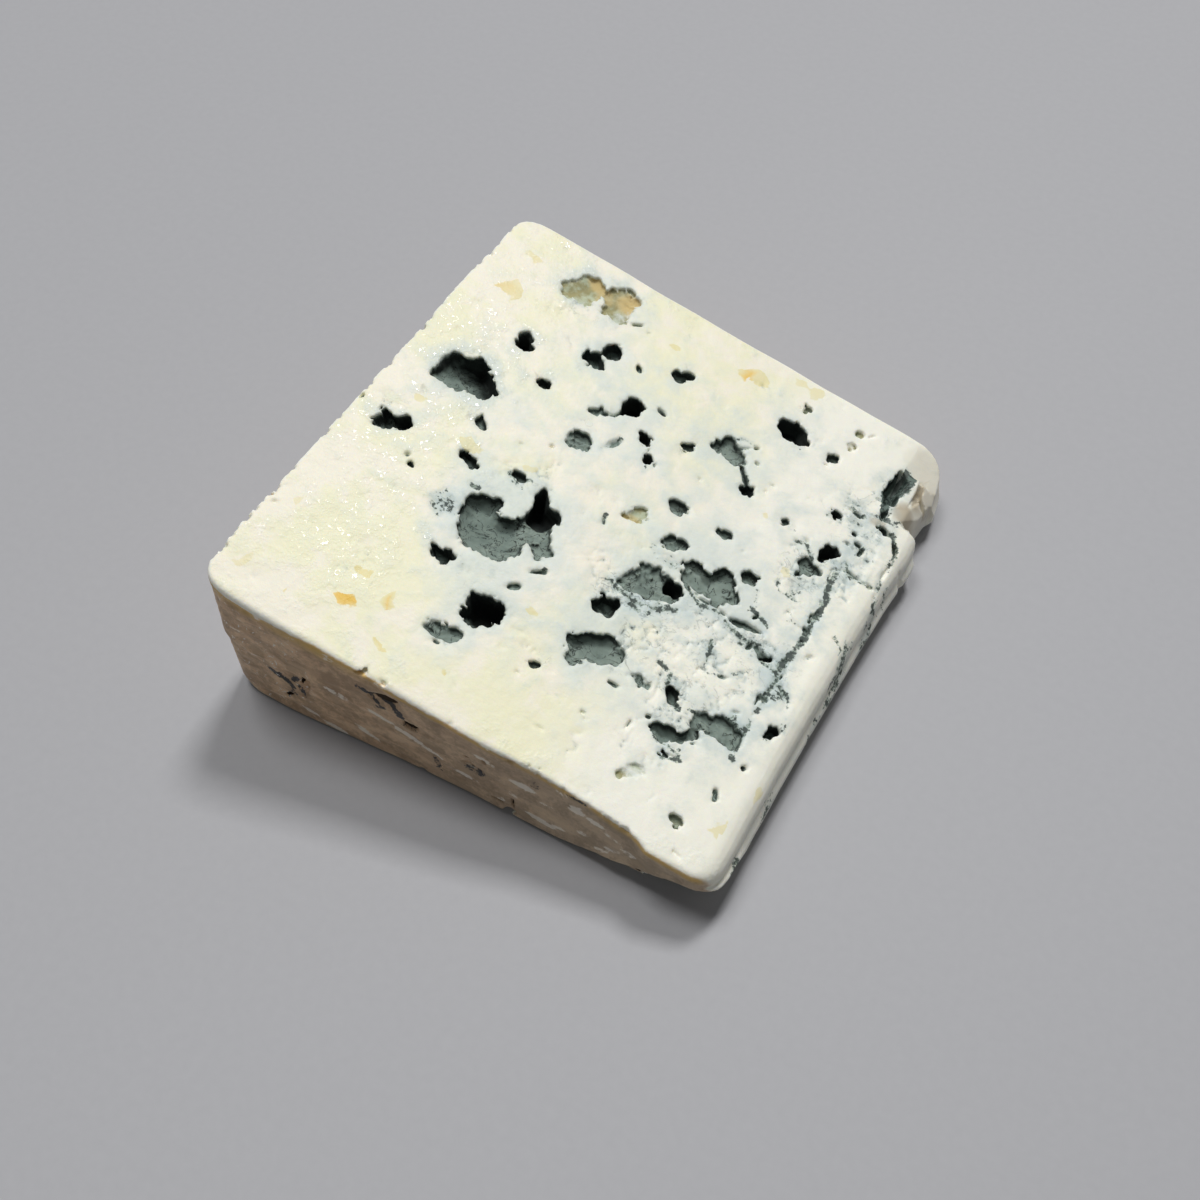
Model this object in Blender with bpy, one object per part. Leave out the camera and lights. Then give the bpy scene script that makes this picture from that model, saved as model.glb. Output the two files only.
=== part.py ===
"""Portion of blue cheese, cut from a wheel and lying on one of its two cut faces.

The other cut face is the sloping top. X runs from the wheel's rim to the thin cut edge,
Y along the wheel's axis from the front flat side to the back one, and Z is up.
Hollows left by the mould, cracks, a chipped corner and a notch are cut into one solid.
"""
import random
from math import atan2, ceil, cos, hypot, pi, radians, sin, tan

import bmesh
import bpy
from mathutils import Vector, noise

MM = 0.001
SEED = 11

# The sloping top, as its height at the rim and its fall towards the thin edge
RIM_X = -41.2
RIM_HEIGHT = 28.8
TOP_SLOPE = radians(13.2)
FRONT_Y = -41.3

# Corners of the plan as x, y and how far from the corner its rounding starts, in mm
PLAN = (
    (-43.0, -41.7, 5.2),
    (-12.0, -41.0, 12.0),
    (40.7, -41.7, 5.0),
    (41.2, -6.0, 14.0),
    (42.5, 17.5, 3.8),
    (43.7, 26.0, 4.2),
    (41.6, 47.9, 5.4),
    (-40.9, 48.0, 5.2),
    (-41.8, 2.0, 14.0),
)
PLAN_STEP = 3.2
CORNER_STEP = 1.5
EVEN_OUT = 2
SLIVER = 0.03

# Rounding of the top and bottom edges, in mm
TOP_ROUND = 0.9
THIN_TOP_ROUND = 3.4
BOTTOM_ROUND = 1.1
ROUND_STEPS = 5
RIM_BULGE = 1.2
WAVE = 0.28
WAVE_LENGTH = 9.0

# The front face leans back between two places along X
FRONT_LEAN = 1.5
LEAN_STARTS = (-2.0, 16.0)
LEAN_ENDS = (26.5, 28.5)
MIDDLE_LEAN = 0.4

# The base rises clear of the table along the front and thin edges: how far, and where it starts
FRONT_RISE = (0.3, 5.6)
FRONT_RISE_STARTS = ((-20.0, -8.0), (12.0, 42.0))
THIN_RISE = 2.4
THIN_RISE_X = (30.0, 41.0)
THIN_RISE_Y = (46.0, 34.0)
FRONT_RISE_Y = (-25.0, -39.0)
UNDERCUT = 0.9
LEAST_SIDE = 0.8
FRONT_SPAN = (15.0, -41.0)
THIN_SPAN = (-10.0, 41.0)

# Large hollows in the top as the corners of the mouth, the depth, and where the pit leans, in mm
HOLLOWS = (
    (((-35.3, 14.4), (-34.1, 15.7), (-31.9, 15.8), (-30.2, 16.7), (-27.1, 14.3), (-25.4, 12.2),
      (-26.0, 10.0), (-32.2, 8.6), (-35.5, 9.2)), 4.4, (0.9, 1.6)),
    (((-37.8, -0.4), (-35.2, -1.3), (-33.2, 0.1), (-32.2, -2.0), (-35.0, -3.7), (-37.6, -4.4)),
     3.8, (0.5, 1.0)),
    (((-19.0, -6.8), (-18.0, -5.4), (-14.3, -4.9), (-14.2, -6.6), (-12.6, -7.2), (-10.6, -6.0), (-8.6, -6.2),
      (-7.6, -9.0), (-8.0, -12.0), (-9.6, -14.3), (-13.5, -14.4), (-15.0, -15.0), (-17.6, -12.6), (-18.6, -9.4)),
     2.3, (-0.6, 1.0)),
    (((-10.6, -6.6), (-9.6, -4.6), (-5.5, -3.6), (-5.3, -6.0), (-3.7, -8.8), (-5.0, -10.4), (-7.4, -9.2),
      (-9.8, -9.6)), 1.4, (-0.4, 0.5)),
    (((-10.6, -0.6), (-9.8, 1.2), (-8.4, -1.3), (-5.4, -1.9), (-5.6, -3.6), (-7.4, -5.4), (-9.8, -4.9)),
     5.6, (-0.6, 0.9)),
    (((-20.2, -16.1), (-18.0, -17.2), (-15.2, -16.9), (-15.6, -19.7), (-18.0, -18.6)), 3.0, (0.6, 0.6)),
    (((-10.2, -20.5), (-7.7, -20.0), (-5.1, -19.8), (-4.1, -22.2), (-5.0, -24.4), (-6.4, -25.2), (-10.0, -25.1),
      (-9.3, -22.8)), 5.8, (0.5, 1.2)),
    (((-13.7, -29.0), (-12.6, -28.0), (-9.9, -27.4), (-6.8, -27.9), (-8.2, -30.0), (-10.2, -31.0)),
     1.1, (0.0, 0.4)),
    (((5.2, -18.4), (7.0, -17.2), (8.6, -16.0), (10.6, -15.2), (12.6, -15.4), (14.0, -17.8), (12.6, -19.4),
      (10.6, -20.4), (9.0, -21.4), (8.0, -23.5), (6.6, -22.0), (5.3, -21.6), (6.2, -20.0)), 1.9, (-0.8, 0.8)),
    (((4.6, -11.6), (5.6, -10.6), (5.6, -9.5), (7.0, -9.7), (8.4, -9.4), (8.6, -11.2), (7.8, -12.6), (6.3, -13.2)),
     3.2, (0.0, 0.9)),
    (((6.2, -6.0), (7.2, -3.6), (8.2, -1.8), (10.6, -0.4), (12.6, -0.8), (15.6, -2.4), (15.6, -5.2), (13.0, -5.8),
      (11.0, -6.8), (8.6, -7.2)), 1.3, (0.0, 0.6)),
    (((12.7, -0.9), (15.0, -1.3), (15.4, -2.6), (13.9, -3.8), (12.6, -2.6)), 5.0, (0.0, 0.5)),
    (((14.0, 3.4), (17.5, 3.4), (18.3, 4.3), (19.8, 5.0), (21.0, 4.6), (22.2, 3.2), (23.6, 1.7), (21.5, -0.7),
      (17.3, -1.3), (14.6, -0.5), (13.4, 0.9)), 1.9, (-0.2, 1.0)),
    (((-28.3, 38.0), (-27.6, 39.6), (-25.7, 42.6), (-23.5, 43.4), (-21.2, 42.0), (-22.3, 37.3), (-27.1, 36.0)),
     1.6, (0.4, 0.4)),
    (((-21.0, 42.6), (-18.5, 44.5), (-15.6, 43.6), (-16.0, 39.4), (-16.0, 36.6), (-20.3, 37.2), (-20.9, 40.4)),
     1.1, (0.0, 0.3)),
    (((-16.0, 32.0), (-14.7, 33.4), (-13.0, 32.4), (-13.4, 29.4), (-15.6, 29.6)), 2.6, (0.2, 0.6)),
    (((-18.4, 28.3), (-16.0, 29.6), (-13.9, 26.8), (-15.2, 26.2), (-17.4, 26.8)), 2.6, (0.0, 0.6)),
    (((-28.3, 25.2), (-27.4, 26.0), (-24.8, 23.3), (-26.8, 22.0), (-28.1, 23.4)), 4.4, (0.3, 0.3)),
    (((-8.3, 23.2), (-6.8, 25.6), (-5.2, 24.9), (-5.3, 21.7), (-7.6, 21.4)), 4.8, (0.2, 0.4)),
    (((7.5, 26.2), (9.6, 28.2), (11.6, 26.8), (13.6, 24.6), (12.2, 23.7), (7.8, 24.0)), 1.5, (-0.3, 0.3)),
    (((14.0, 36.0), (15.8, 37.4), (18.0, 37.6), (20.0, 35.3), (18.4, 33.9), (16.1, 33.7)), 4.4, (0.0, 0.7)),
    (((30.0, 17.2), (30.5, 19.4), (31.9, 19.6), (33.1, 18.3), (31.9, 17.2), (31.2, 16.2), (30.7, 15.5)),
     4.0, (0.3, 0.6)),
    (((28.3, 13.9), (28.8, 14.9), (30.6, 14.4), (32.7, 14.1), (31.2, 12.8), (29.6, 12.2), (28.9, 11.2)),
     1.5, (0.0, 0.4)),
    (((26.2, -18.8), (28.5, -18.2), (31.0, -16.9), (33.4, -18.0), (33.5, -21.0), (30.0, -21.0), (26.6, -20.6)),
     1.4, (0.0, 0.5)),
    (((21.6, -24.6), (23.2, -23.6), (25.2, -23.5), (27.0, -20.8), (28.8, -21.8), (26.2, -24.6), (23.2, -25.7)),
     2.0, (0.0, 0.4)),
    (((23.3, -1.9), (26.3, -1.0), (28.9, 0.1), (27.4, -1.4), (25.2, -3.0)), 2.6, (0.0, 0.4)),
    (((34.2, 35.4), (35.0, 40.4), (36.8, 38.6), (36.2, 35.4), (37.0, 33.0), (35.0, 32.4)), 3.2, (-0.3, 0.2)),
)

# Smaller hollows in the top as x, y, length, width, turn in degrees and depth, in mm
OVALS = (
    (-22.4, -1.1, 4.4, 1.9, -32, 2.6), (-14.6, 0.9, 3.2, 1.5, 12, 2.0), (-20.3, 18.7, 2.1, 2.0, 0, 2.4),
    (-24.2, 5.8, 2.3, 0.9, -38, 1.6), (-2.9, 34.2, 3.4, 2.5, 35, 2.0), (-10.8, 19.0, 3.2, 1.6, 20, 1.3),
    (-2.2, 19.3, 2.4, 2.2, -40, 3.0), (0.2, 16.0, 1.7, 1.6, 0, 3.0), (-10.3, 12.2, 4.2, 3.2, -10, 1.3),
    (4.3, 22.1, 2.5, 1.9, 20, 1.6), (15.5, 20.8, 1.7, 1.9, 70, 3.0), (8.2, 10.8, 3.0, 2.3, 20, 1.7),
    (16.4, 11.1, 2.7, 1.4, -5, 1.2), (10.9, 4.9, 4.8, 2.5, 15, 1.6), (22.9, 6.3, 3.3, 2.6, 0, 1.8),
    (31.2, -4.6, 3.2, 1.1, 28, 2.2), (17.2, -18.8, 3.9, 1.6, -6, 1.0), (22.1, -18.0, 3.6, 1.4, -48, 2.6),
    (37.0, -15.0, 3.2, 1.8, 62, 3.0), (24.8, 35.0, 1.7, 1.5, 0, 1.8), (29.3, 25.3, 1.7, 1.5, 0, 2.4),
    (23.0, 19.0, 2.0, 1.3, 0, 1.4), (26.4, 39.2, 2.0, 1.5, 0, 1.3), (16.9, 41.2, 1.8, 1.6, 0, 1.3),
    (25.0, -27.5, 1.5, 1.0, 20, 1.8), (22.6, -32.2, 4.6, 2.2, 48, 1.0), (31.4, -35.0, 2.5, 1.4, -42, 1.3),
    (3.4, 5.4, 3.9, 2.8, 35, 0.9), (3.2, -25.8, 2.0, 0.8, 22, 1.8), (37.3, 27.4, 2.4, 1.0, -12, 2.2),
)
OVAL_SIDES = 9
OVAL_TILT = 0.2
RAGGED = 0.16
MOUTH_STEP = 1.3
MOUTH_RAGGED = 0.22

# Levels of a hollow, as its part of the depth, its size beside the mouth's and its part of the lean
MOUTH_ABOVE = 1.0
HOLLOW_LEVELS = ((0.12, 1.0, 0.0), (0.55, 0.98, 0.6), (1.0, 0.62, 1.0))
HOLLOW_JITTER = 0.02
FLOOR_TILT = 0.25

# Cracks in the top as their route, width and depth, in mm, and how they narrow
CRACKS = (
    (((33.6, 12.6), (34.2, 8.0), (34.3, 1.0), (33.4, -3.0), (33.6, -6.0), (33.4, -12.5), (33.2, -16.4)), 0.9, 1.1),
    (((38.9, 27.2), (40.1, 25.2), (40.7, 23.8)), 0.8, 2.2),
    (((38.7, 41.2), (39.4, 38.0), (38.9, 33.4)), 1.0, 2.5),
    (((39.2, 38.0), (41.0, 36.8), (43.6, 36.2)), 0.9, 4.2),
)
CRACK_END = 0.35
CRACK_SHOULDER = 0.3
CRACK_FLOOR = 0.45

# Pits in the front rind as x, z, length, width, turn in degrees and depth, in mm
RIND_PITS = (
    (-12.8, 17.1, 5.4, 2.4, 12, 1.5), (1.2, 9.8, 3.4, 1.1, -12, 1.1), (-28.0, 9.4, 5.8, 0.9, 78, 1.0),
    (-30.6, 11.0, 3.4, 2.2, 20, 0.7), (-5.0, 6.3, 3.2, 0.9, -70, 0.8), (-1.1, 4.3, 2.0, 1.1, 80, 0.8),
    (12.0, 13.6, 3.8, 0.8, 78, 0.8), (7.2, 10.5, 1.6, 0.9, 10, 0.7), (12.5, 8.5, 1.5, 0.6, 85, 0.6),
)

# Chipped corner at the thin edge: y range, and x, z of the break's two edges, in mm
CHIPS = (
    ((40.4, 52.0), (34.8, 11.2), (43.4, 6.2)),
    ((30.0, 40.6), (38.7, 10.4), (42.4, 5.6)),
)
# Notch beside the chipped corner, from its tip round the lump that stands beyond it, in mm
NOTCH = ((38.6, 30.0), (40.3, 31.3), (41.9, 30.5), (42.9, 28.3), (47.0, 27.6), (47.0, 41.0), (41.4, 38.5),
         (40.9, 34.2))
# Small notch at the lump's other end, in mm
LUMP_END = ((41.7, 22.9), (46.0, 24.6), (46.0, 19.8))

# How far the chips' and the notch's cutters reach past the portion, in mm
BEYOND = 50.0
ABOVE = 20.0
BELOW = 2.0

PASTE_COLOUR = (0.86, 0.83, 0.70, 1.0)
PASTE_ROUGHNESS = 0.45


def top_height(x):
    """Height of the sloping top above the table at x, in mm."""
    return RIM_HEIGHT - (x - RIM_X) * tan(TOP_SLOPE)


def top_point(x, y, out):
    """Point over x, y on the sloping top, moved out along the top's normal, in mm."""
    return Vector((x + out * sin(TOP_SLOPE), y, top_height(x) + out * cos(TOP_SLOPE)))


def front_point(x, z, out):
    """Point on the front rind at x, z, moved out of the cheese, in mm."""
    return Vector((x, FRONT_Y - out, z))


def round_corner(before, corner, after, reach):
    """Points of a smooth curve that rounds one corner of the plan."""
    start = corner + (before - corner).normalized() * reach
    end = corner + (after - corner).normalized() * reach
    turn = (corner - start).angle(end - corner)
    count = max(2, ceil(reach * turn / CORNER_STEP))
    steps = [i / count for i in range(count + 1)]
    return [start * (1 - s) ** 2 + corner * 2 * s * (1 - s) + end * s ** 2 for s in steps]


def plan_outline():
    """Points round the plan, counter-clockwise, with extra ones on the long straight sides."""
    corners = [Vector((x, y)) for x, y, _ in PLAN]
    curves = []
    for i, corner in enumerate(corners):
        curves.append(round_corner(corners[i - 1], corner, corners[(i + 1) % len(corners)], PLAN[i][2]))
    points = []
    for i, curve in enumerate(curves):
        points += curve
        start, end = curve[-1], curves[(i + 1) % len(curves)][0]
        pieces = max(1, ceil((end - start).length / PLAN_STEP))
        points += [start.lerp(end, k / pieces) for k in range(1, pieces)]
    return points


def outward(points):
    """Unit outward direction in the plan at each point, evened out over its neighbours."""
    count = len(points)
    sharp = []
    for i in range(count):
        along = points[(i + 1) % count] - points[i - 1]
        sharp.append(Vector((along.y, -along.x)).normalized())
    near = range(-EVEN_OUT, EVEN_OUT + 1)
    return [sum((sharp[(i + k) % count] for k in near), Vector((0.0, 0.0))).normalized() for i in range(count)]


def smooth_step(low, high, value):
    """0 below low, 1 above high, and a smooth rise between them."""
    t = min(max((value - low) / (high - low), 0.0), 1.0)
    return t * t * (3 - 2 * t)


def edge_sizes(direction):
    """Top rounding, bottom rounding and bulge of the side at one point of the outline, in mm."""
    thin = max(direction.x, 0.0)
    rim = max(-direction.x, 0.0)
    return TOP_ROUND + (THIN_TOP_ROUND - TOP_ROUND) * thin, BOTTOM_ROUND + rim, RIM_BULGE * rim


def rises(point):
    """How far the base rises below the front edge and below the thin edge, in mm."""
    front = sum(rise * smooth_step(*start, point.x) for rise, start in zip(FRONT_RISE, FRONT_RISE_STARTS))
    thin = THIN_RISE * smooth_step(*THIN_RISE_X, point.x) * smooth_step(*THIN_RISE_Y, point.y)
    return front, thin


def lean(point, direction):
    """How far the front face has leaned back at the top edge, in mm."""
    along = smooth_step(*LEAN_STARTS, point.x) * (1 - smooth_step(*LEAN_ENDS, point.x))
    return FRONT_LEAN * along * max(-direction.y, 0.0)


def side_column(point, direction):
    """One column of points up the side, from the base to the top's edge, in mm."""
    top, bottom, bulge = edge_sizes(direction)
    height = top_height(point.x)
    wave = WAVE * noise.noise(Vector((point.x, point.y, 0.0)) / WAVE_LENGTH)
    front, thin = rises(point)
    rise = min(max(front * smooth_step(*FRONT_RISE_Y, point.y), thin), height - top - bottom - LEAST_SIDE)
    inwards = Vector((-thin * smooth_step(*THIN_SPAN, point.x), front * smooth_step(*FRONT_SPAN, point.y)))
    column = []
    for step in range(ROUND_STEPS + 1):
        angle = 0.5 * pi * step / ROUND_STEPS
        part = step / ROUND_STEPS
        inset = bottom * (1 - sin(angle)) + wave
        place = point - direction * inset + inwards * UNDERCUT * (1 - part)
        column.append(Vector((place.x, place.y, bottom * (1 - cos(angle)) + rise * part)))
    back = lean(point, direction)
    place = point + direction * (bulge - wave - MIDDLE_LEAN * back)
    column.append(Vector((place.x, place.y, 0.5 * (bottom + rise + height - top))))
    for step in range(ROUND_STEPS + 1):
        angle = 0.5 * pi * step / ROUND_STEPS
        inset = top * (1 - cos(angle)) + wave + back
        place = point - direction * inset
        column.append(top_point(place.x, place.y, top * (sin(angle) - 1)))
    return column


def loft(name, rings):
    """Closed solid through rings of points in mm, capped at both ends, as an object in metres."""
    shape = bmesh.new()
    rows = [[shape.verts.new(point * MM) for point in ring] for ring in rings]
    count = len(rows[0])
    for lower, upper in zip(rows, rows[1:]):
        for i in range(count):
            shape.faces.new((lower[i - 1], lower[i], upper[i], upper[i - 1]))
    caps = [shape.faces.new(rows[0]), shape.faces.new(rows[-1])]
    bmesh.ops.recalc_face_normals(shape, faces=shape.faces)
    bmesh.ops.triangulate(shape, faces=caps)
    mesh = bpy.data.meshes.new(name)
    shape.to_mesh(mesh)
    shape.free()
    return bpy.data.objects.new(name, mesh)


def body():
    """The plain portion, before anything is cut out of it."""
    points = plan_outline()
    columns = [side_column(point, direction) for point, direction in zip(points, outward(points))]
    rings = [list(ring) for ring in zip(*columns)]
    return loft("cheese_wedge", rings)


def torn(mouth, draw):
    """A mouth with more points on its long sides, each pushed in or out a little at random."""
    points = []
    for (x, y), (next_x, next_y) in zip(mouth, mouth[1:] + mouth[:1]):
        points.append((x, y))
        pieces = ceil(hypot(next_x - x, next_y - y) / MOUTH_STEP)
        for k in range(1, pieces):
            shift = draw.uniform(-MOUTH_RAGGED, MOUTH_RAGGED)
            part = k / pieces
            points.append((x + (next_x - x) * part + shift, y + (next_y - y) * part - shift))
    return points


def ragged(points, draw, amount):
    """The same points, each moved a little at random."""
    return [(x + draw.uniform(-amount, amount), y + draw.uniform(-amount, amount)) for x, y in points]


def hollow(name, mouth, depth, shift, place, draw):
    """Cutter for a hollow: its mouth widens a little inside, then narrows to a floor that leans."""
    middle_x = sum(x for x, _ in mouth) / len(mouth)
    middle_y = sum(y for _, y in mouth) / len(mouth)
    reach = max(hypot(x - middle_x, y - middle_y) for x, y in mouth)
    rings = []
    for down, size, part in ((-MOUTH_ABOVE / depth, 1.0, 0.0), *HOLLOW_LEVELS):
        ring = []
        jitter = HOLLOW_JITTER * reach * (part > 0.0)
        for x, y in ragged(mouth, draw, jitter):
            across_x, across_y = (x - middle_x) * size, (y - middle_y) * size
            tilt = 1 + FLOOR_TILT * part * (across_x * shift[0] + across_y * shift[1]) / reach
            ring.append(place(middle_x + across_x + shift[0] * part, middle_y + across_y + shift[1] * part,
                              -depth * down * tilt))
        rings.append(ring)
    return loft(name, rings)


def oval_mouth(x, y, length, width, turn, draw):
    """Uneven oval as a hollow's mouth."""
    points = []
    for i in range(OVAL_SIDES):
        angle = 2 * pi * i / OVAL_SIDES
        size = 0.5 * (1 + draw.uniform(-RAGGED, RAGGED))
        across = Vector((length * size * cos(angle), width * size * sin(angle)))
        heading = atan2(across.y, across.x) + radians(turn)
        points.append((x + across.length * cos(heading), y + across.length * sin(heading)))
    return points


def crack(name, route, width, depth):
    """Cutter for a crack along a route: a groove that narrows downwards."""
    points = [Vector(point) for point in route]
    sides = []
    for i, point in enumerate(points):
        along = points[min(i + 1, len(points) - 1)] - points[max(i - 1, 0)]
        taper = CRACK_END if i in (0, len(points) - 1) else 1.0
        sides.append(Vector((-along.y, along.x)).normalized() * 0.5 * width * taper)
    rings = []
    for out, size in ((MOUTH_ABOVE, 1.0), (-CRACK_SHOULDER * depth, 1.0), (-depth, CRACK_FLOOR)):
        left = [top_point(*(point + side * size), out) for point, side in zip(points, sides)]
        right = [top_point(*(point - side * size), out) for point, side in zip(points, sides)]
        rings.append(left + right[::-1])
    return loft(name, rings)


def chip(name, y_range, inner, outer):
    """Cutter for a chip: all that stands above a break from inner to outer, given as x, z."""
    profile = (inner, outer, (BEYOND, outer[1]), (BEYOND, ABOVE), (inner[0], ABOVE))
    return loft(name, [[Vector((x, y, z)) for x, z in profile] for y in y_range])


def notch(name, outline):
    """Cutter for a notch, straight down through the thin edge."""
    return loft(name, [[Vector((x, y, z)) for x, y in outline] for z in (-BELOW, ABOVE)])


def cutters():
    """Every cutter, in the order in which they are drawn."""
    draw = random.Random(SEED)
    made = []
    for i, (mouth, depth, tilt) in enumerate(HOLLOWS):
        made.append(hollow(f"hollow_{i}", torn(mouth, draw), depth, tilt, top_point, draw))
    for i, (x, y, length, width, turn, depth) in enumerate(OVALS):
        mouth = oval_mouth(x, y, length, width, turn, draw)
        made.append(hollow(f"oval_{i}", mouth, depth, (0.0, OVAL_TILT * width), top_point, draw))
    for i, (x, z, length, width, turn, depth) in enumerate(RIND_PITS):
        mouth = oval_mouth(x, z, length, width, turn, draw)
        made.append(hollow(f"rind_pit_{i}", mouth, depth, (0.0, 0.5 * OVAL_TILT * width), front_point, draw))
    for i, (route, width, depth) in enumerate(CRACKS):
        made.append(crack(f"crack_{i}", route, width, depth))
    for i, (y_range, inner, outer) in enumerate(CHIPS):
        made.append(chip(f"chip_{i}", y_range, inner, outer))
    made.append(notch("notch", NOTCH))
    made.append(notch("lump_end", LUMP_END))
    return made


def merge_slivers(mesh):
    """Join points that the cut left closer together than a sliver's width."""
    shape = bmesh.new()
    shape.from_mesh(mesh)
    bmesh.ops.triangulate(shape, faces=shape.faces)
    bmesh.ops.remove_doubles(shape, verts=shape.verts, dist=SLIVER * MM)
    bmesh.ops.dissolve_degenerate(shape, edges=shape.edges, dist=0.1 * SLIVER * MM)
    bmesh.ops.triangulate(shape, faces=shape.faces)
    shape.to_mesh(mesh)
    shape.free()


def cut_away(solid, tools):
    """Cut the tools out of the solid with one Boolean, then remove them."""
    group = bpy.data.collections.new("cutters")
    bpy.context.scene.collection.children.link(group)
    for tool in tools:
        group.objects.link(tool)
    cut = solid.modifiers.new("cut", "BOOLEAN")
    cut.operation = "DIFFERENCE"
    cut.operand_type = "COLLECTION"
    cut.solver = "EXACT"
    cut.collection = group
    bpy.context.view_layer.update()
    evaluated = solid.evaluated_get(bpy.context.evaluated_depsgraph_get())
    result = bpy.data.meshes.new_from_object(evaluated)
    solid.modifiers.clear()
    solid.data = result
    merge_slivers(result)
    for tool in tools:
        bpy.data.objects.remove(tool)
    bpy.data.collections.remove(group)


def centre_on_base(solid):
    """Move the mesh so that the origin is the middle of the bottom of its box."""
    places = [vertex.co for vertex in solid.data.vertices]
    low = Vector([min(place[axis] for place in places) for axis in range(3)])
    high = Vector([max(place[axis] for place in places) for axis in range(3)])
    middle = (low + high) / 2
    for vertex in solid.data.vertices:
        vertex.co -= Vector((middle.x, middle.y, low.z))


def paste_material():
    """Ivory paste."""
    material = bpy.data.materials.new("paste")
    material.use_nodes = True
    shader = material.node_tree.nodes["Principled BSDF"]
    shader.inputs["Base Color"].default_value = PASTE_COLOUR
    shader.inputs["Roughness"].default_value = PASTE_ROUGHNESS
    shader.inputs["Metallic"].default_value = 0.0
    return material


def main():
    for item in list(bpy.data.objects):
        bpy.data.objects.remove(item)
    wedge = body()
    bpy.context.scene.collection.objects.link(wedge)
    cut_away(wedge, cutters())
    centre_on_base(wedge)
    wedge.data.materials.clear()
    wedge.data.materials.append(paste_material())


main()
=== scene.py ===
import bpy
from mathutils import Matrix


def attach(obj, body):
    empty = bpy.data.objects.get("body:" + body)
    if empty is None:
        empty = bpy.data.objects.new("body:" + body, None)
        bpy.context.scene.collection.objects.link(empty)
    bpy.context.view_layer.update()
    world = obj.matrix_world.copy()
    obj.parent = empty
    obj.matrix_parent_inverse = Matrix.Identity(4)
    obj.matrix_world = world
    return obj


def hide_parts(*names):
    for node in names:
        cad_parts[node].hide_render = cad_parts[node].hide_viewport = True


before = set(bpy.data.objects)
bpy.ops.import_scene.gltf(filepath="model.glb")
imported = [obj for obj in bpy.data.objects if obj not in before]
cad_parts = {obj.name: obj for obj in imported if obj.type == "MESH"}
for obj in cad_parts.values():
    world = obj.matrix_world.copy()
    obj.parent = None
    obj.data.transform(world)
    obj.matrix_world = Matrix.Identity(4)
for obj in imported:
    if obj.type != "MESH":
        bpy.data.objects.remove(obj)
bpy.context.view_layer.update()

# Looks of a portion of blue cheese that lies on a cut face. Its solid is turned into a fine field of
# distances, which is made ragged in the hollows, crumbled where the mould runs through it, and meshed.
# Lengths are in mm and places are on the face's own axes, unless a line says otherwise.

from math import cos, radians, sin, tan

import bpy
import numpy as np
import openvdb
from mathutils import Vector

MM = 0.001
NODE = "cheese_wedge"

# Where the middle of the solid's box lies on the face's own axes
CENTRE_X = -0.315
CENTRE_Y = 3.306
MIDDLE = np.array((CENTRE_X, CENTRE_Y, 0.0), np.float32)

# The sloping cut face, which way is up from it, and the front flat side
RIM_X = -41.2
RIM_HEIGHT = 28.8
SLOPE = radians(13.2)
FACE_UP = np.array((sin(SLOPE), 0.0, cos(SLOPE)), np.float32)
FRONT_Y = -41.3

# The field: its step, how far it reaches round the solid and how far it knows distances, in steps
VOXEL = 0.27
MARGIN = 8
BAND = 8.0

# The mesh: its most faces, and how far it lies inside the solid at least
MOST_FACES = 195000
LEAST_INSIDE = 0.02

# Where the thin edge begins, and the broken corner
THIN_X = (36.0, 39.0)
BROKEN_X = (34.2, 35.0)
BROKEN_Y = (29.0, 30.5)

# The hollows' mouths: how deep their outline is read, how ragged it is, and how much wider than the solid's
MOUTH_DEPTH = 0.5
RAGGED = 0.62
WIDER = 0.12

# How far the creases are rounded where a hollow, a small hollow and a crack meet the face
MOUTH_JOIN = 0.08
SMALL_JOIN = 0.2
CRACK_JOIN = 0.15

# The photo's camera, before the box is centred
CAMERA_PLACE = (65.0, -119.7, 195.2)
CAMERA_LENS = 43.5
CAMERA_SENSOR = 36.0

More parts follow.
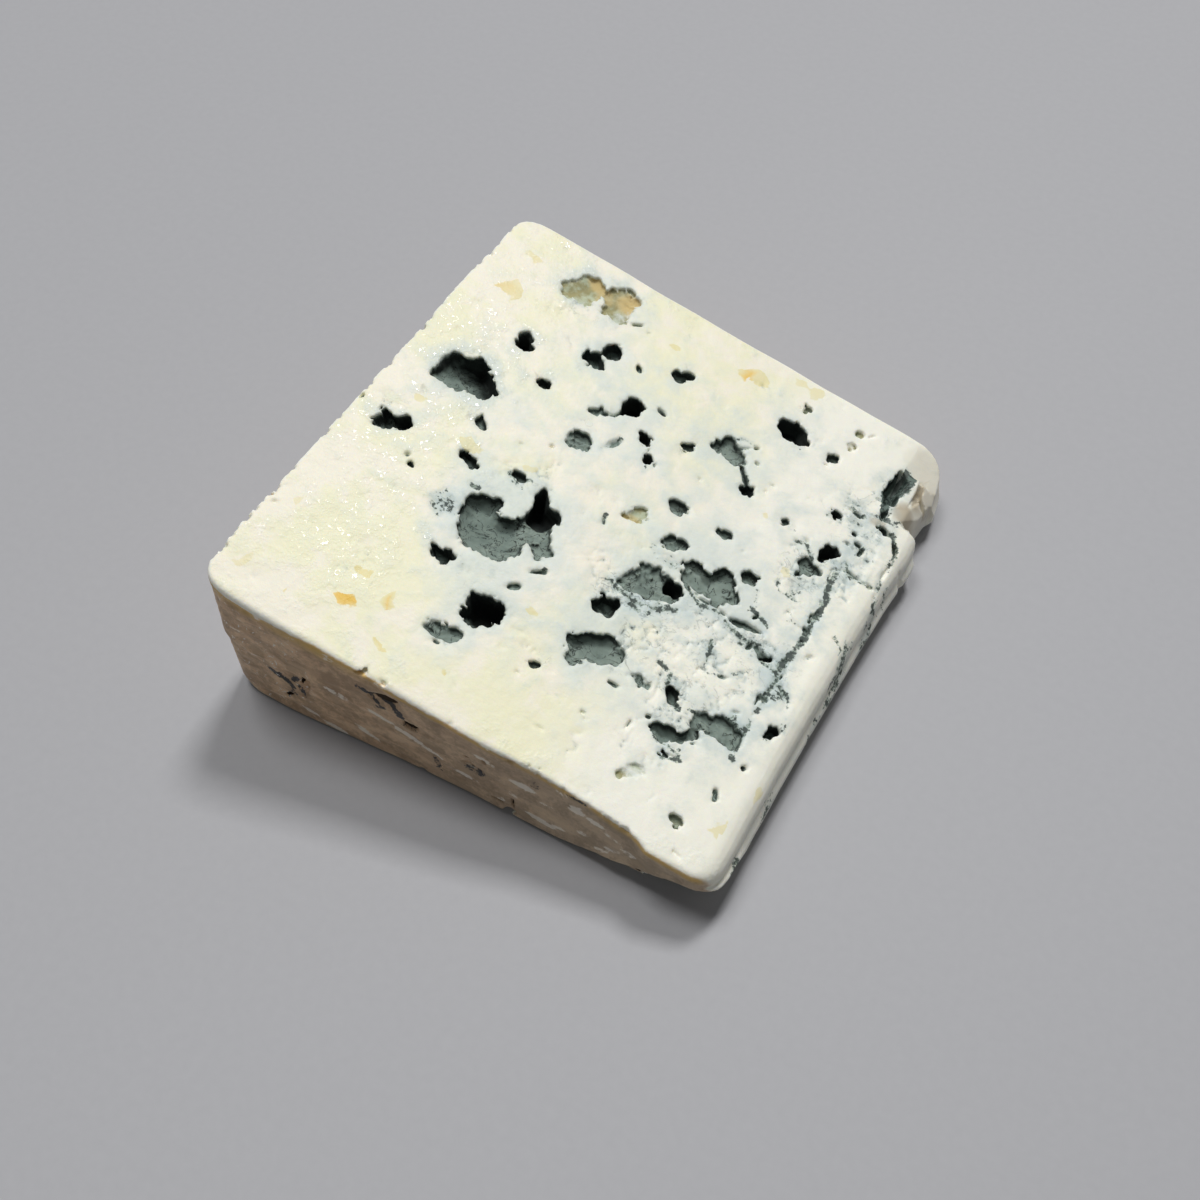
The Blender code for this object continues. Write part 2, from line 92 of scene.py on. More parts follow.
# Hollows too small for the solid: x, y, length, width, turn in degrees and depth
SMALL_HOLLOWS = (
    (-28.9, -7.3, 1.5, 1, -30, 1.4), (-30.2, -6, 1, 0.7, 60, 0.9), (-13.3, 8.8, 0.7, 0.6, 0, 0.8),
    (-17.4, 6.2, 0.5, 0.4, 0, 0.5), (-9.4, 31, 1.9, 0.9, -45, 1.2), (-2.4, 25.6, 1.9, 0.7, -22, 1.4),
    (-14, 38.7, 2, 0.5, 35, 0.9), (-11.5, 38.4, 0.7, 0.5, 0, 0.7), (13.4, 29, 1, 0.6, 30, 1.2),
    (14.7, 26.3, 0.8, 0.6, 0, 0.8), (18.6, 24, 0.8, 0.5, 0, 0.6), (18.1, 22.3, 0.6, 0.5, 0, 0.6),
    (-5.7, 15.4, 2.6, 1.2, 62, 0.9), (8.4, 17.8, 0.9, 0.4, -40, 0.6), (-0.3, 1.9, 1.5, 0.4, -68, 0.8),
    (26.4, 42.5, 1.5, 1.3, 60, 1), (28.2, 43.2, 1.3, 0.4, 45, 0.5), (24.2, 33.2, 0.7, 0.5, 0, 0.6),
    (33.4, 24, 1.3, 0.8, 0, 1.4), (34.6, 22.5, 1.3, 0.7, 0, 1.2), (35.6, 21.4, 1.5, 0.8, 80, 1.4),
    (33.1, 21.7, 0.8, 0.7, 0, 0.9), (36, 30.1, 1.6, 1, 70, 1.4), (39.3, 16.3, 1.2, 0.7, 0, 1),
    (32, 27.7, 2.6, 0.8, -10, 1.2), (23, -7.7, 1.6, 0.5, -68, 0.8), (28.8, -9, 1.3, 0.3, 45, 0.5),
    (-5.6, -16.3, 1.9, 1, 45, 0.9), (-3.6, -11.9, 2.4, 0.9, 32, 1), (13.9, -21.7, 1.9, 0.8, 0, 1),
    (12.6, -28.2, 0.8, 0.7, 0, 0.7), (13.3, -28.9, 0.5, 0.4, 0, 0.5), (1.8, -28.1, 0.7, 0.4, 0, 0.6),
    (18.8, -25.9, 1.8, 0.6, 85, 1), (20.6, -23.3, 1, 0.7, 20, 1), (25.6, -29.1, 0.5, 0.4, 0, 0.5),
    (34.2, -28.6, 1.7, 0.8, -70, 1), (35.9, -22.4, 1.1, 0.9, 30, 1), (31, -15.3, 1.3, 0.5, 25, 0.6),
    (23.3, -12.3, 0.8, 0.5, 0, 0.6), (26.8, -11.3, 1.3, 0.5, 20, 0.7), (33.4, -39.4, 1.1, 0.5, -20, 0.6),
    (-34.4, 5.6, 1.6, 0.5, -45, 0.5), (-41, -24.8, 1, 0.6, 30, 0.5), (19.9, 9.9, 0.5, 0.4, 0, 0.5),
    (26.6, 17, 1.3, 0.5, -10, 0.7), (27.6, 18, 1, 0.5, -60, 0.7), (29, 12, 1.2, 0.8, 60, 1.4),
    (8.6, -33.8, 1.1, 0.4, 0, 0.4), (-36.5, 19.2, 0.8, 0.4, -30, 0.4), (14.7, -10.2, 0.6, 0.5, 0, 0.6),
    (26.6, 0.8, 1.2, 0.5, 60, 1), (33.2, 3.2, 1.6, 0.4, -10, 0.6), (30.4, 4.6, 1.2, 0.3, 60, 0.5),
    (26, -1.5, 5, 1.2, 14, 1.2), (29.7, -4.1, 2.8, 0.8, -22, 1.3), (27.9, -4.4, 1.4, 0.7, 70, 1.2),
    (11.2, -6, 1.2, 0.4, 50, 3.4), (36.4, -0.5, 1.2, 0.6, 40, 0.6), (-12.6, -40.3, 1.2, 0.6, 0, 0.8),
)

# A small hollow's unevenness, and the powers that shape its outline and its bowl
SMALL_RAGGED = 0.2
PIT_OUTLINE = 2.4
PIT_BOWL = 3.0

# Thin cracks as their route, width and depth
CRACKS = (
    (((10, 27.6), (11, 27.1), (12.2, 28), (13.4, 29)), 0.5, 1),
    (((12.6, 24.6), (14, 22.9), (15.2, 21.6)), 0.9, 1.6),
    (((-9.3, 19.6), (-8.2, 20.2), (-7.6, 21.6)), 0.5, 1.2),
    (((-0.8, 18), (-0.4, 16.8)), 0.5, 1.2),
    (((23.4, -1.9), (21, -1.4), (17.4, -1.5)), 0.5, 0.8),
    (((29, -3.4), (27.4, -4.2), (26.2, -4.2)), 0.6, 1),
    (((33.3, -5.8), (35.2, -8), (36.7, -9.6)), 0.6, 0.8),
    (((33.6, 13), (33, 15.8), (35.4, 17), (38.6, 16.4)), 0.5, 0.9),
    (((40.6, 22.8), (40.2, 17.6), (41.6, 12)), 0.5, 0.8),
    (((38, 4.6), (40.2, 3.6), (41.2, 1)), 0.5, 0.6),
    (((20, -15.4), (20.4, -17.2), (22, -19.6), (23.4, -19.4)), 0.5, 1),
    (((14.8, -19.6), (15.6, -18.6)), 0.4, 0.8),
    (((26.6, -26.7), (25.6, -27)), 0.4, 0.6),
)

# Crumbly parts of the face: x, y and reach
CRUMBLY = (
    (9, -8, 6), (14, -11, 8), (22, -5, 8), (28, -8, 8), (29, 12, 7), (34, 24, 9), (36, 16, 6), (24, -17, 7),
    (34, -4, 5), (35, 31, 5),
)

# Mould smeared over the face: x, y, length, width, turn and strength
SMEARS = (
    (35.5, 36.6, 2.6, 8, -10, 1.7), (36.6, 31, 1.2, 3, -30, 0.9), (39.2, 30.2, 2, 0.9, 20, 0.8),
    (14.6, -6.6, 3.6, 2.2, 30, 0.7), (11.6, 1.6, 3.4, 2, -20, 0.5), (9.2, -7.4, 4.4, 2, 0, 0.6),
    (22.6, -2.8, 6, 1.4, -20, 0.5), (28.6, -3.8, 4.4, 2, 20, 0.7), (34, -8.6, 2, 4.6, 15, 0.6),
    (35.6, -8.8, 2.6, 2.2, -25, 0.8), (29.4, 9.4, 2, 3, 0, 0.7), (33.8, 14.2, 1.8, 4.4, 5, 0.7),
    (32.6, 26.6, 2.4, 3, -15, 0.6), (31.6, 29.6, 2.6, 2.2, 0, 0.5), (29.4, 25.2, 2.6, 2.2, 0, 0.6),
    (34.6, 21.8, 3.4, 2, 0, 0.4), (27.4, 17.2, 3, 1.2, -50, 0.6), (36.6, 17.2, 4.6, 1.6, -15, 0.5),
    (39.8, 18.6, 1.4, 5, 20, 0.6), (41.6, 11, 1.2, 7, 8, 0.7), (41, 2.6, 1.4, 6, 10, 0.7),
    (41.4, -6.6, 1.2, 7, 0, 0.5), (41.2, -22.6, 1.2, 5, 0, 0.55), (41, -34.6, 1, 3.2, 0, 0.8),
    (37, -0.6, 1.8, 1.4, 0, 0.4), (22.2, -19, 3.4, 1.4, -40, 0.5), (32.8, -18.8, 1.6, 5, 0, 0.7),
    (28, -21.6, 3.4, 1.4, 40, 0.5), (38, -13.4, 1.8, 1.2, -50, 0.7), (36.6, -16.4, 1.8, 1.4, 0, 0.5),
    (-21.2, -10.3, 4.6, 3.6, 10, 0.75), (-9, -16.8, 1.4, 2.6, 20, 0.3), (-2.9, 4.3, 1.4, 1, 0, 0.3),
    (-2.2, 17.8, 2.6, 0.9, -15, 0.35), (-5.8, 15.2, 1, 3, -25, 0.6), (9.8, 28.4, 3.6, 1.2, 40, 0.4),
    (19, 34, 3, 1.4, 50, 0.5), (24.4, 32, 2.4, 0.8, 12, 0.35), (37.9, 29, 2.2, 1.8, 0, 0.7),
    (36, 30.8, 1, 2, 20, 0.7), (12.9, -28.4, 2, 1, -40, 0.4), (-34.4, 43.8, 2.4, 1.2, 0, 0.3),
    (-20.4, 17.4, 2.6, 0.9, 0, 0.4), (24, 19, 2.4, 2, 0, 0.45), (24.8, 34.6, 1.8, 2.4, 0, 0.4),
    (36.2, 21.5, 7, 12, 0, 0.33), (34.6, 27.6, 6, 5, 0, 0.33), (38.4, 30, 4, 3, 0, 0.4),
    (22, -8.6, 9, 4, -20, 0.22), (33, -8, 4, 12, 0, 0.28),
)

# Veins of mould in the face as their width, strength and route
VEINS = (
    (1, 0.9, (33.6, 15.6), (33.6, 13.6), (34.1, 11.4), (34.6, 9.6)),
    (1.2, 1, (34.6, 9.6), (34.2, 5), (34.3, 1), (33.6, -2.4), (33.1, -4.6)),
    (0.9, 0.8, (33.1, -4.6), (33.6, -7), (33.5, -10), (33.4, -13.4)),
    (0.7, 0.8, (33.3, -15.6), (33.5, -18.6), (33.5, -22)),
    (0.6, 0.85, (15.4, -0.9), (18.4, -2.5), (21.4, -1.9), (24, -3.2), (26.4, -3.7), (28.6, -3.8),
     (30.6, -5.5), (33.2, -5.9)),
    (0.6, 0.8, (26.6, -4.7), (28.4, -3), (29.8, -4.5)),
    (0.9, 0.8, (5.2, -6.9), (8, -7.5), (10, -7.9), (12.4, -7.4), (14.4, -6.6), (15.9, -5.4)),
    (0.6, 0.75, (9.6, -8.6), (11.4, -9), (13.2, -8)), (0.6, 0.6, (11.8, -6.2), (14.6, -5.7)),
    (0.6, 0.8, (22.7, -6.8), (23.2, -8.4), (23.6, -10.2)),
    (0.6, 0.35, (14.8, -10.7), (19, -10.4), (23.4, -10.3)), (0.4, 0.7, (24.8, -12), (27, -11.2)),
    (0.5, 0.5, (29.6, -8), (27.8, -9.8)),
    (0.6, 0.9, (17.8, -14.6), (20, -15.1), (20.4, -16.9), (22.2, -19), (23.8, -19.7)),
    (0.8, 0.75, (24.8, -18.8), (27.4, -18.7), (29.6, -17.4), (31.2, -16.4)),
    (1.2, 0.75, (31.8, -17.2), (33, -19), (33.4, -21.4), (33.9, -22.4)),
    (0.6, 0.8, (21.4, -24.4), (23.2, -25.9), (26.6, -25.7), (27.5, -26.8), (25, -27.8)),
    (0.8, 0.8, (34.4, -7.6), (36.4, -8.6), (36.9, -10.2)), (0.5, 0.7, (38.2, 4.9), (40, 3.6), (40.8, 1.6)),
    (1.1, 0.75, (40.2, 5.6), (40.9, 1), (41.2, -3.2)), (0.6, 0.5, (40.9, -6), (41.2, -12)),
    (0.8, 0.7, (40.4, -22), (41, -26.4)), (0.7, 0.8, (40.4, -33.6), (40.8, -36)),
    (0.7, 0.55, (8.6, 3.6), (8, 2), (9.8, 0.9), (12.4, 1.3), (13.6, 2.8)),
    (0.6, 0.4, (24.8, 5.4), (25.5, 3), (25, 0.4)), (0.6, 0.9, (25.4, 1.6), (27.6, 1), (28.8, 0.2)),
    (0.5, 0.6, (26.8, 8.8), (27.4, 7.3), (30.4, 7.1)), (1.6, 0.6, (29.6, 10.8), (29.3, 8.8)),
    (0.5, 0.45, (30.5, 4.8), (31, 3.3), (34, 3.7)), (0.7, 0.85, (31.2, 28.4), (32.2, 27.3), (33.4, 27.9)),
    (1.6, 0.5, (32, 27), (33.2, 25.6)), (1.4, 0.45, (30.8, 29.2), (32.8, 29.8)),
    (0.7, 0.6, (28.4, 24.4), (29.8, 25.9), (30.6, 24.6)),
    (0.5, 0.85, (34.2, 22.6), (35.5, 22.2), (35.4, 20.7)),
    (0.7, 0.9, (38.8, 27.2), (40.2, 25.2), (40.7, 22.6)),
    (0.6, 0.6, (40.4, 22.2), (41.4, 19.8), (41.8, 16.6)),
    (0.8, 0.65, (39.4, 20.6), (40.2, 18.2), (40.6, 15.6), (41.7, 12.4), (42, 8.4)),
    (0.6, 0.8, (34.4, 17.9), (35.8, 16.4), (38.2, 16.1), (39.5, 16.7)),
    (0.5, 0.8, (26, 16.9), (27.6, 17.3), (28.4, 16.3), (29.7, 15.2)),
    (0.5, 0.6, (27.2, 18.2), (28.2, 17.1)), (0.8, 0.9, (35.8, 31.8), (36.2, 30), (35.8, 29.4)),
    (0.8, 0.9, (36, 27.9), (38.4, 27.2)), (0.8, 0.7, (-5.4, 17), (-5.8, 15.2), (-6.8, 13.6)),
    (0.5, 0.6, (0.2, 15.2), (0.6, 13.4)), (0.6, 0.6, (9.4, 27.8), (10.6, 29.2), (13.6, 29.4)),
    (0.8, 0.7, (12.8, 24.2), (14.6, 22.6), (15.4, 21.6)),
    (0.6, 0.8, (-16.2, 0.4), (-14.4, 0.2), (-12.8, 1.2)), (0.5, 0.5, (-15, -0.4), (-13, -0.8)),
    (0.5, 0.8, (-19.8, -4.9), (-18.6, -4.8)), (0.6, 0.8, (-5, -13), (-3.2, -11.2)),
    (0.7, 0.6, (-20.4, -9), (-22.4, -8), (-23, -10.4), (-21, -12.8)), (0.4, 0.9, (-0.6, 2.9), (-0.1, 1.3)),
)

# A vein's half width for each unit of its width, the soft edge beside it, and how far it wobbles
VEIN_WIDTH = 0.5
VEIN_EDGE = 0.5
VEIN_WOBBLE = 0.25

# The long vein, and the bits of cheese that bridge it: their size and height
LONG_VEIN = ((33.6, 15.6), (34.6, 9.6), (34.2, 4), (33.6, -2.4), (33.6, -7), (33.4, -13.4))
ISLAND_SIZE = 1.3
ISLAND_HEIGHT = 1.3

# Amber and yellow spots: x, y, length, width, turn and strength
STAINS = (
    (-23.9, -32.6, 3.5, 2.2, 18, 1), (-24.2, -27.2, 3.2, 1.5, 0, 0.55), (-18.7, -29.5, 2.4, 0.5, -62, 0.8),
    (-16, -35.8, 4.6, 0.7, -12, 0.6), (-32, -36.8, 1.6, 0.9, 25, 0.6), (-33.6, 39.6, 2.6, 2.2, 0, 0.5),
    (-35.4, 31.8, 2.6, 3, 0, 0.65), (-33.6, 31.4, 3, 4.6, 0, 0.5), (5.2, 41.4, 1.9, 1.6, -30, 0.9),
    (7.2, 41.9, 4.4, 2.6, 0, 0.45), (-6.7, 38.7, 1.9, 1.8, 0, 0.45), (13.8, 46, 1.6, 1.2, 0, 0.25),
    (16.8, 45.7, 2.4, 2, 0, 0.35), (-6.5, -34.6, 1.2, 0.9, 30, 0.6), (2.9, 11, 2.4, 1.1, 30, 0.5),
    (-1.3, -18.6, 2, 1, 10, 0.5), (19.9, 18.2, 1.3, 0.9, 0, 0.4), (36.4, 5.2, 1, 2, 15, 0.4),
    (36.5, -32.6, 2, 3.4, 0, 0.35), (39, -24.6, 1.1, 1.6, 0, 0.35), (-23.5, 1.2, 3.8, 2, -10, 0.4),
    (-14, 3, 2.6, 1.2, 20, 0.3), (-34.4, 3.9, 1.4, 1.6, -30, 0.45), (-38.8, -35.4, 0.8, 3.4, -8, 0.25),
    (-38.6, -23, 0.7, 1.4, -20, 0.25), (27, 10.8, 1.8, 1.2, 0, 0.2), (28.4, 37, 1.4, 1, 0, 0.25),
)

# How much wider the soft ovals are that turn the spots from straw at their rims to amber
AMBER_REACH = 1.7

# The bluish veil on the paste: its middle, and where it ends and is full
VEIL_MIDDLE = 4.0
VEIL_REACH = (44.0, 20.0)

# Parts of the broken corner painted beige, as painted shade on its faces turned from the light
CORNER_SHADE_SPOTS = (
    (38.6, 43.6, 7, 7, -20, 0.35), (40.6, 38, 3, 8, 0, 0.5), (39.2, 37.6, 1.4, 7, 5, 1),
    (38.6, 32.4, 3.4, 4, 20, 1), (35.6, 28.4, 2.6, 1.4, 20, 0.7), (41.8, 36.6, 3.4, 1, -8, 0.9),
)

# Hollows whose mould has turned olive: x, y, length, width, turn and strength
OLD_MOULD = (
    (-25, 40, 9, 9, 0, 1), (-18.3, 40.5, 8, 9, 0, 0.9), (3.4, 5.4, 6, 5, 0, 0.9),
    (22.6, -32.2, 7, 6, 48, 0.9), (31.4, -35, 4, 3, 0, 0.5), (26.4, 40.8, 3.6, 6, 0, 0.8),
    (16.9, 41.2, 3, 3, 0, 0.4),
)

# Those hollows' floors: their depth, their unevenness, and a depth that leaves the other hollows alone
OLD_DEPTH = 0.9
OLD_UNEVEN = 0.35
NO_FLOOR = 9.0

# Mould in the broken corner
POCKET = (
    (36.6, 37.6, 2.2, 5.6, -16, 1), (35.4, 34.4, 2.4, 5, -6, 1), (35.6, 31.2, 1.6, 2, 10, 0.9),
    (36.8, 29.6, 1.8, 0.9, 0, 0.7),
)

# Golden floors in the olive hollows
GOLDEN = (
    (-16.4, 42, 6, 4.6, -20, 1), (-23, 42.4, 5, 2.4, -20, 0.8), (-21.2, 40.8, 3, 3, 0, 0.6),
    (3, 4.8, 3, 2, 0, 0.6),
)

# Places on the front face are on the plane y = FRONT_Y as the camera sees them. Here is how far they shift
# for each mm that the rind lies behind that plane, how far it lies behind it, and where its pits start.
SEEN_SIDEWAYS = 0.54
SEEN_UPWARDS = 1.26
RIND_BEHIND = 0.7
PIT_START = 0.6

# Pits in the front face: x, z, length, width, turn and depth
FRONT_PITS = (
    (-12, 24, 2.4, 1, 70, 1.2), (-16, 23, 2, 0.7, 10, 0.7), (-0.8, 21.4, 2.6, 1.2, 50, 0.9),
    (7, 2, 3, 1.8, 60, 1.2), (-7.8, 1.4, 1.2, 1.4, 70, 0.8), (5.4, 4, 2.2, 0.6, 0, 0.6),
    (7.9, 5.2, 0.7, 2.6, 0, 0.5), (7.7, 16.9, 1.4, 0.6, 10, 0.4), (0.6, 12.8, 0.9, 0.5, 0, 0.4),
    (3.4, 13.4, 0.9, 0.5, -30, 0.4), (18.6, 15.8, 3.4, 0.9, 3, 0.6), (-8.6, 14, 3, 1.6, 10, 0.4),
    (-31.4, 5.8, 2.6, 0.7, 45, 0.4), (22.6, 17.2, 0.7, 1.6, 0, 0.5), (-27.6, 12.6, 0.6, 3.4, -18, 0.7),
)

# Pale and dark marks on the rind of the front face: x, z, length, width, turn and strength
FRONT_PALE = (
    (-21.6, 13, 5, 1.6, -8, 0.8), (-14.6, 12.6, 5, 1.2, -14, 0.7), (-9, 10.6, 5.6, 1.3, -16, 0.9),
    (-5.4, 9, 4, 1, -24, 0.8), (0, 6.8, 6, 1.3, -4, 0.8), (-28, 3, 4, 1.2, -12, 0.7),
    (-23.6, 1.6, 5.6, 1.2, -8, 0.9), (-17.4, 4.8, 5.4, 1.4, -28, 0.8), (3.4, 14.4, 4.4, 1.2, -18, 0.8),
    (9.8, 12, 4.4, 1.8, 0, 0.8), (18.6, 13, 2.8, 2.6, 30, 0.9), (22, 11.6, 3.4, 1.4, -14, 0.8),
    (24.4, 9.6, 4.4, 0.9, -24, 0.6), (13.6, 9.6, 2.8, 1.2, 0, 0.6), (8, 8.2, 2, 2, 0, 0.6),
    (19.6, 7, 2.4, 1.2, 0, 0.6), (24.4, 6.4, 2.6, 1.4, 20, 0.7), (22.6, 4.8, 2.6, 1.2, 10, 0.6),
    (27, 7.6, 2.6, 1.4, -14, 0.7), (12.6, 4.2, 5, 1.4, -6, 0.8), (15.6, 4.8, 1.8, 1, 0, 0.9),
    (6.2, 5, 2, 1, 30, 0.7), (-12.6, 22.2, 4, 1.4, 10, 0.6), (-21.4, 22.8, 2.4, 1.8, 45, 0.5),
    (5.4, 18.6, 3.6, 1.2, 20, 0.6), (-0.8, 17.4, 2.6, 1, 0, 0.4), (16.4, 15.4, 2.8, 1.2, -10, 0.6),
    (-38.4, 17.8, 2, 1.2, 30, 0.7), (-33, 25, 1.6, 1.4, 0, 0.7), (-37, 6.6, 2.6, 0.8, 0, 0.4),
)
FRONT_DARK = (
    (-33, 10.4, 2.6, 1.5, -25, 1), (-31, 9.4, 3.6, 1.2, -35, 1), (-29.4, 11, 2.6, 0.9, 50, 0.8),
    (-28.6, 8.6, 3.4, 0.8, -80, 0.8), (-30.6, 7.4, 2.6, 0.8, 70, 0.7), (-16.4, 18.4, 3.4, 1, -10, 0.9),
    (-14.4, 17, 3, 0.9, -50, 0.8), (-12.6, 18.2, 3.8, 1.3, -15, 1), (-10.6, 16.2, 2.6, 1.4, -60, 1),
    (-13.6, 15.6, 2.4, 0.7, 20, 0.7), (2, 9.8, 4, 2, -10, 0.7), (19, 15.8, 5, 1.2, 0, 0.6),
    (-5, 6.4, 1.2, 3.6, 12, 0.6), (12, 13.6, 1, 4, -8, 0.5), (-30.8, 5.6, 3.4, 1.4, 40, 0.5),
    (-9, 13.8, 4, 2.4, 0, 0.3),
)

# How the edge of a mark fades, as parts of its size
SPOT_FADE = (1.4, 0.7)

# Finishes
CREAM = (0.92, 0.87, 0.725)
IVORY = (0.885, 0.86, 0.62)
# Whiter paste, for freshly broken parts and for painted light on rounded edges
FRESH_AND_LIT_PASTE = (0.94, 0.925, 0.82)
MILK = (0.70, 0.755, 0.70)
VEIN_PALE = (0.40, 0.48, 0.46)
VEIL = (0.57, 0.665, 0.655)
VEIN = (0.030, 0.044, 0.037)
VEIN_GREEN = (0.30, 0.37, 0.31)
AMBER = (0.86, 0.56, 0.10)
STRAW = (0.80, 0.70, 0.30)
# Beige for painted shade on the broken corner
CORNER_SHADE = (0.52, 0.46, 0.35)
MOULD = (0.145, 0.190, 0.165)
# Paler mould, also used as painted light on shallow hollow floors
PALE_MOULD_AND_LIT_FLOOR = (0.25, 0.305, 0.265)
# Near-black mould for cracks and dark patches, also used as painted shade in the hollows
DARK_MOULD_AND_SHADE = (0.018, 0.022, 0.020)
OLIVE = (0.36, 0.33, 0.17)
SAGE = (0.50, 0.54, 0.38)
GOLD = (0.64, 0.49, 0.22)
RIND = (0.84, 0.60, 0.38)
RIND_DARK = (0.63, 0.43, 0.27)
RIND_GREY = (0.52, 0.45, 0.34)
RIND_OCHRE = (0.74, 0.50, 0.15)
RIND_PALE = (1.0, 0.94, 0.82)
RIND_BLUE = (0.070, 0.075, 0.080)
# Very dark brown, for dark mottling on the rind and for painted shade in its pits
RIND_DUSKY_AND_PIT_SHADE = (0.07, 0.05, 0.035)
# Colour for painted highlights: glints painted on the rind
PAINTED_RIND_GLINT = (1.0, 0.98, 0.94)

# The lip of paste over the rind, and the sides that have rind, as where it starts and where it is full
LIP = 0.5
RIND_FRONT = (-34.0, -36.5)
RIND_BACK = (42.5, 44.5)
RIND_RIM = (-33.0, -36.0)

# Where the paste is wet, and where it is freshly broken and whiter
WET_RIM = (-6.0, -30.0)
WET_BACK = (37.0, 45.0)
WET_FRONT = (-33.0, -39.0)
FRESH_X = (2.0, 26.0)

# Studio: lights as name, direction, distance in m, side in m and power in W
LIGHTS = (
    ("light behind", (-0.12, 0.92, 1.50), 3.0, 0.60, 48.5),
    ("light beside", (-0.60, 0.20, 1.90), 3.0, 0.90, 35.0),
)
SKY = (0.95, 0.97, 1.0)
SKY_STRENGTH = 0.14
FLOOR = (0.40, 0.40, 0.415)
FLOOR_DARK = (0.37, 0.37, 0.385)
FLOOR_HALF = 2.0


def smooth(low, high, value):
    """0 at low, 1 at high and a smooth change between them, for arrays."""
    t = np.clip((value - low) / (high - low), 0.0, 1.0)
    return t * t * (3.0 - 2.0 * t)


def smooth_max(first, second, width):
    """The larger of two arrays, with the crease between them rounded."""
    t = np.clip(0.5 + 0.5 * (first - second) / width, 0.0, 1.0)
    return second + (first - second) * t + width * t * (1.0 - t)


def stretch(values, places, axis):
    """Values read at fractional places along one axis, eased between neighbours."""
    low = np.floor(places).astype(int)
    part = (places - low).astype(np.float32)
    part = part * part * (3.0 - 2.0 * part)
    shape = [1] * values.ndim
    shape[axis] = len(places)
    part = part.reshape(shape)
    return np.take(values, low, axis) * (1.0 - part) + np.take(values, low + 1, axis) * part


def grain(axes, cell, seed):
    """Smooth noise from -1 to 1 on a grid given by its axes, with lumps about a cell wide."""
    sizes = cell if isinstance(cell, tuple) else (cell,) * len(axes)
    places = [(axis - axis[0]) / size for axis, size in zip(axes, sizes)]
    counts = [int(place[-1]) + 3 for place in places]
    values = np.random.default_rng(seed).uniform(-1.0, 1.0, counts).astype(np.float32)
    for axis, place in enumerate(places):
        values = stretch(values, place, axis)
    return values


def rough_grain(axes, cell, seed, octaves=3, gain=0.5):
    """Noise with finer noise on it."""
    total = 0.0
    for step in range(octaves):
        sizes = tuple(c / 2 ** step for c in cell) if isinstance(cell, tuple) else cell / 2 ** step
        total = total + gain ** step * grain(axes, sizes, seed + step)
    return total


def patches(axes, cell, seed):
    """Flat maps of angular patches: how far off the patch's middle is, and the patch's own number."""
    x, y = axes[0][:, None] / cell, axes[1][None, :] / cell
    first, second = np.floor(x).astype(int), np.floor(y).astype(int)
    low = (first.min() - 1, second.min() - 1)
    counts = (first.max() - low[0] + 2, second.max() - low[1] + 2, 3)
    middles = np.random.default_rng(seed).uniform(0.0, 1.0, counts).astype(np.float32)
    best = np.full((len(axes[0]), len(axes[1])), 9.0, np.float32)
    number = np.zeros_like(best)
    for i in (-1, 0, 1):
        for j in (-1, 0, 1):
            near = middles[first + i - low[0], second + j - low[1]]
            gap = np.hypot(x - first - i - near[..., 0], y - second - j - near[..., 1])
            number = np.where(gap < best, near[..., 2], number)
            best = np.minimum(best, gap)
    return best, number


def reached_from_edge(open_cells):
    """The open cells of a flat map that join its edge, without those shut in by cheese."""
    reached = np.zeros_like(open_cells)
    reached[0] = True
    count = 0
    while reached.sum() != count:
        count = reached.sum()
        for _ in range(20):
            grown = reached.copy()
            grown[1:] |= reached[:-1]
            grown[:-1] |= reached[1:]
            grown[:, 1:] |= reached[:, :-1]
            grown[:, :-1] |= reached[:, 1:]
            reached = grown & open_cells
    return reached


def spread(values, reach):
    """A flat map blurred over a reach, as three box averages one after another."""
    width = max(1, int(round(reach / VOXEL)))
    for axis in (0, 1):
        for _ in range(3):
            count = values.shape[axis]
            padded = np.concatenate([np.take(values, [0] * (width + 1), axis), values,
                                     np.take(values, [-1] * width, axis)], axis)
            total = np.cumsum(padded, axis, dtype=np.float64)
            upper = np.take(total, range(2 * width + 1, 2 * width + 1 + count), axis)
            lower = np.take(total, range(0, count), axis)
            values = ((upper - lower) / (2 * width + 1)).astype(np.float32)
    return values


def read_rows(items, name, kind=np.float32):
    """Rows of three numbers that a mesh stores for its points or triangles."""
    rows = np.zeros(len(items) * 3, kind)
    items.foreach_get(name, rows)
    return rows.reshape(-1, 3)


def points_of(mesh):
    """A mesh's points on the face's own axes, in mm."""
    return read_rows(mesh.vertices, "co") / MM + MIDDLE


def solid_points():
    """The solid's corners on the face's own axes, in mm, and its triangles."""
    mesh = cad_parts[NODE].data
    mesh.calc_loop_triangles()
    return points_of(mesh), read_rows(mesh.loop_triangles, "vertices", np.int32).astype(np.uint32)


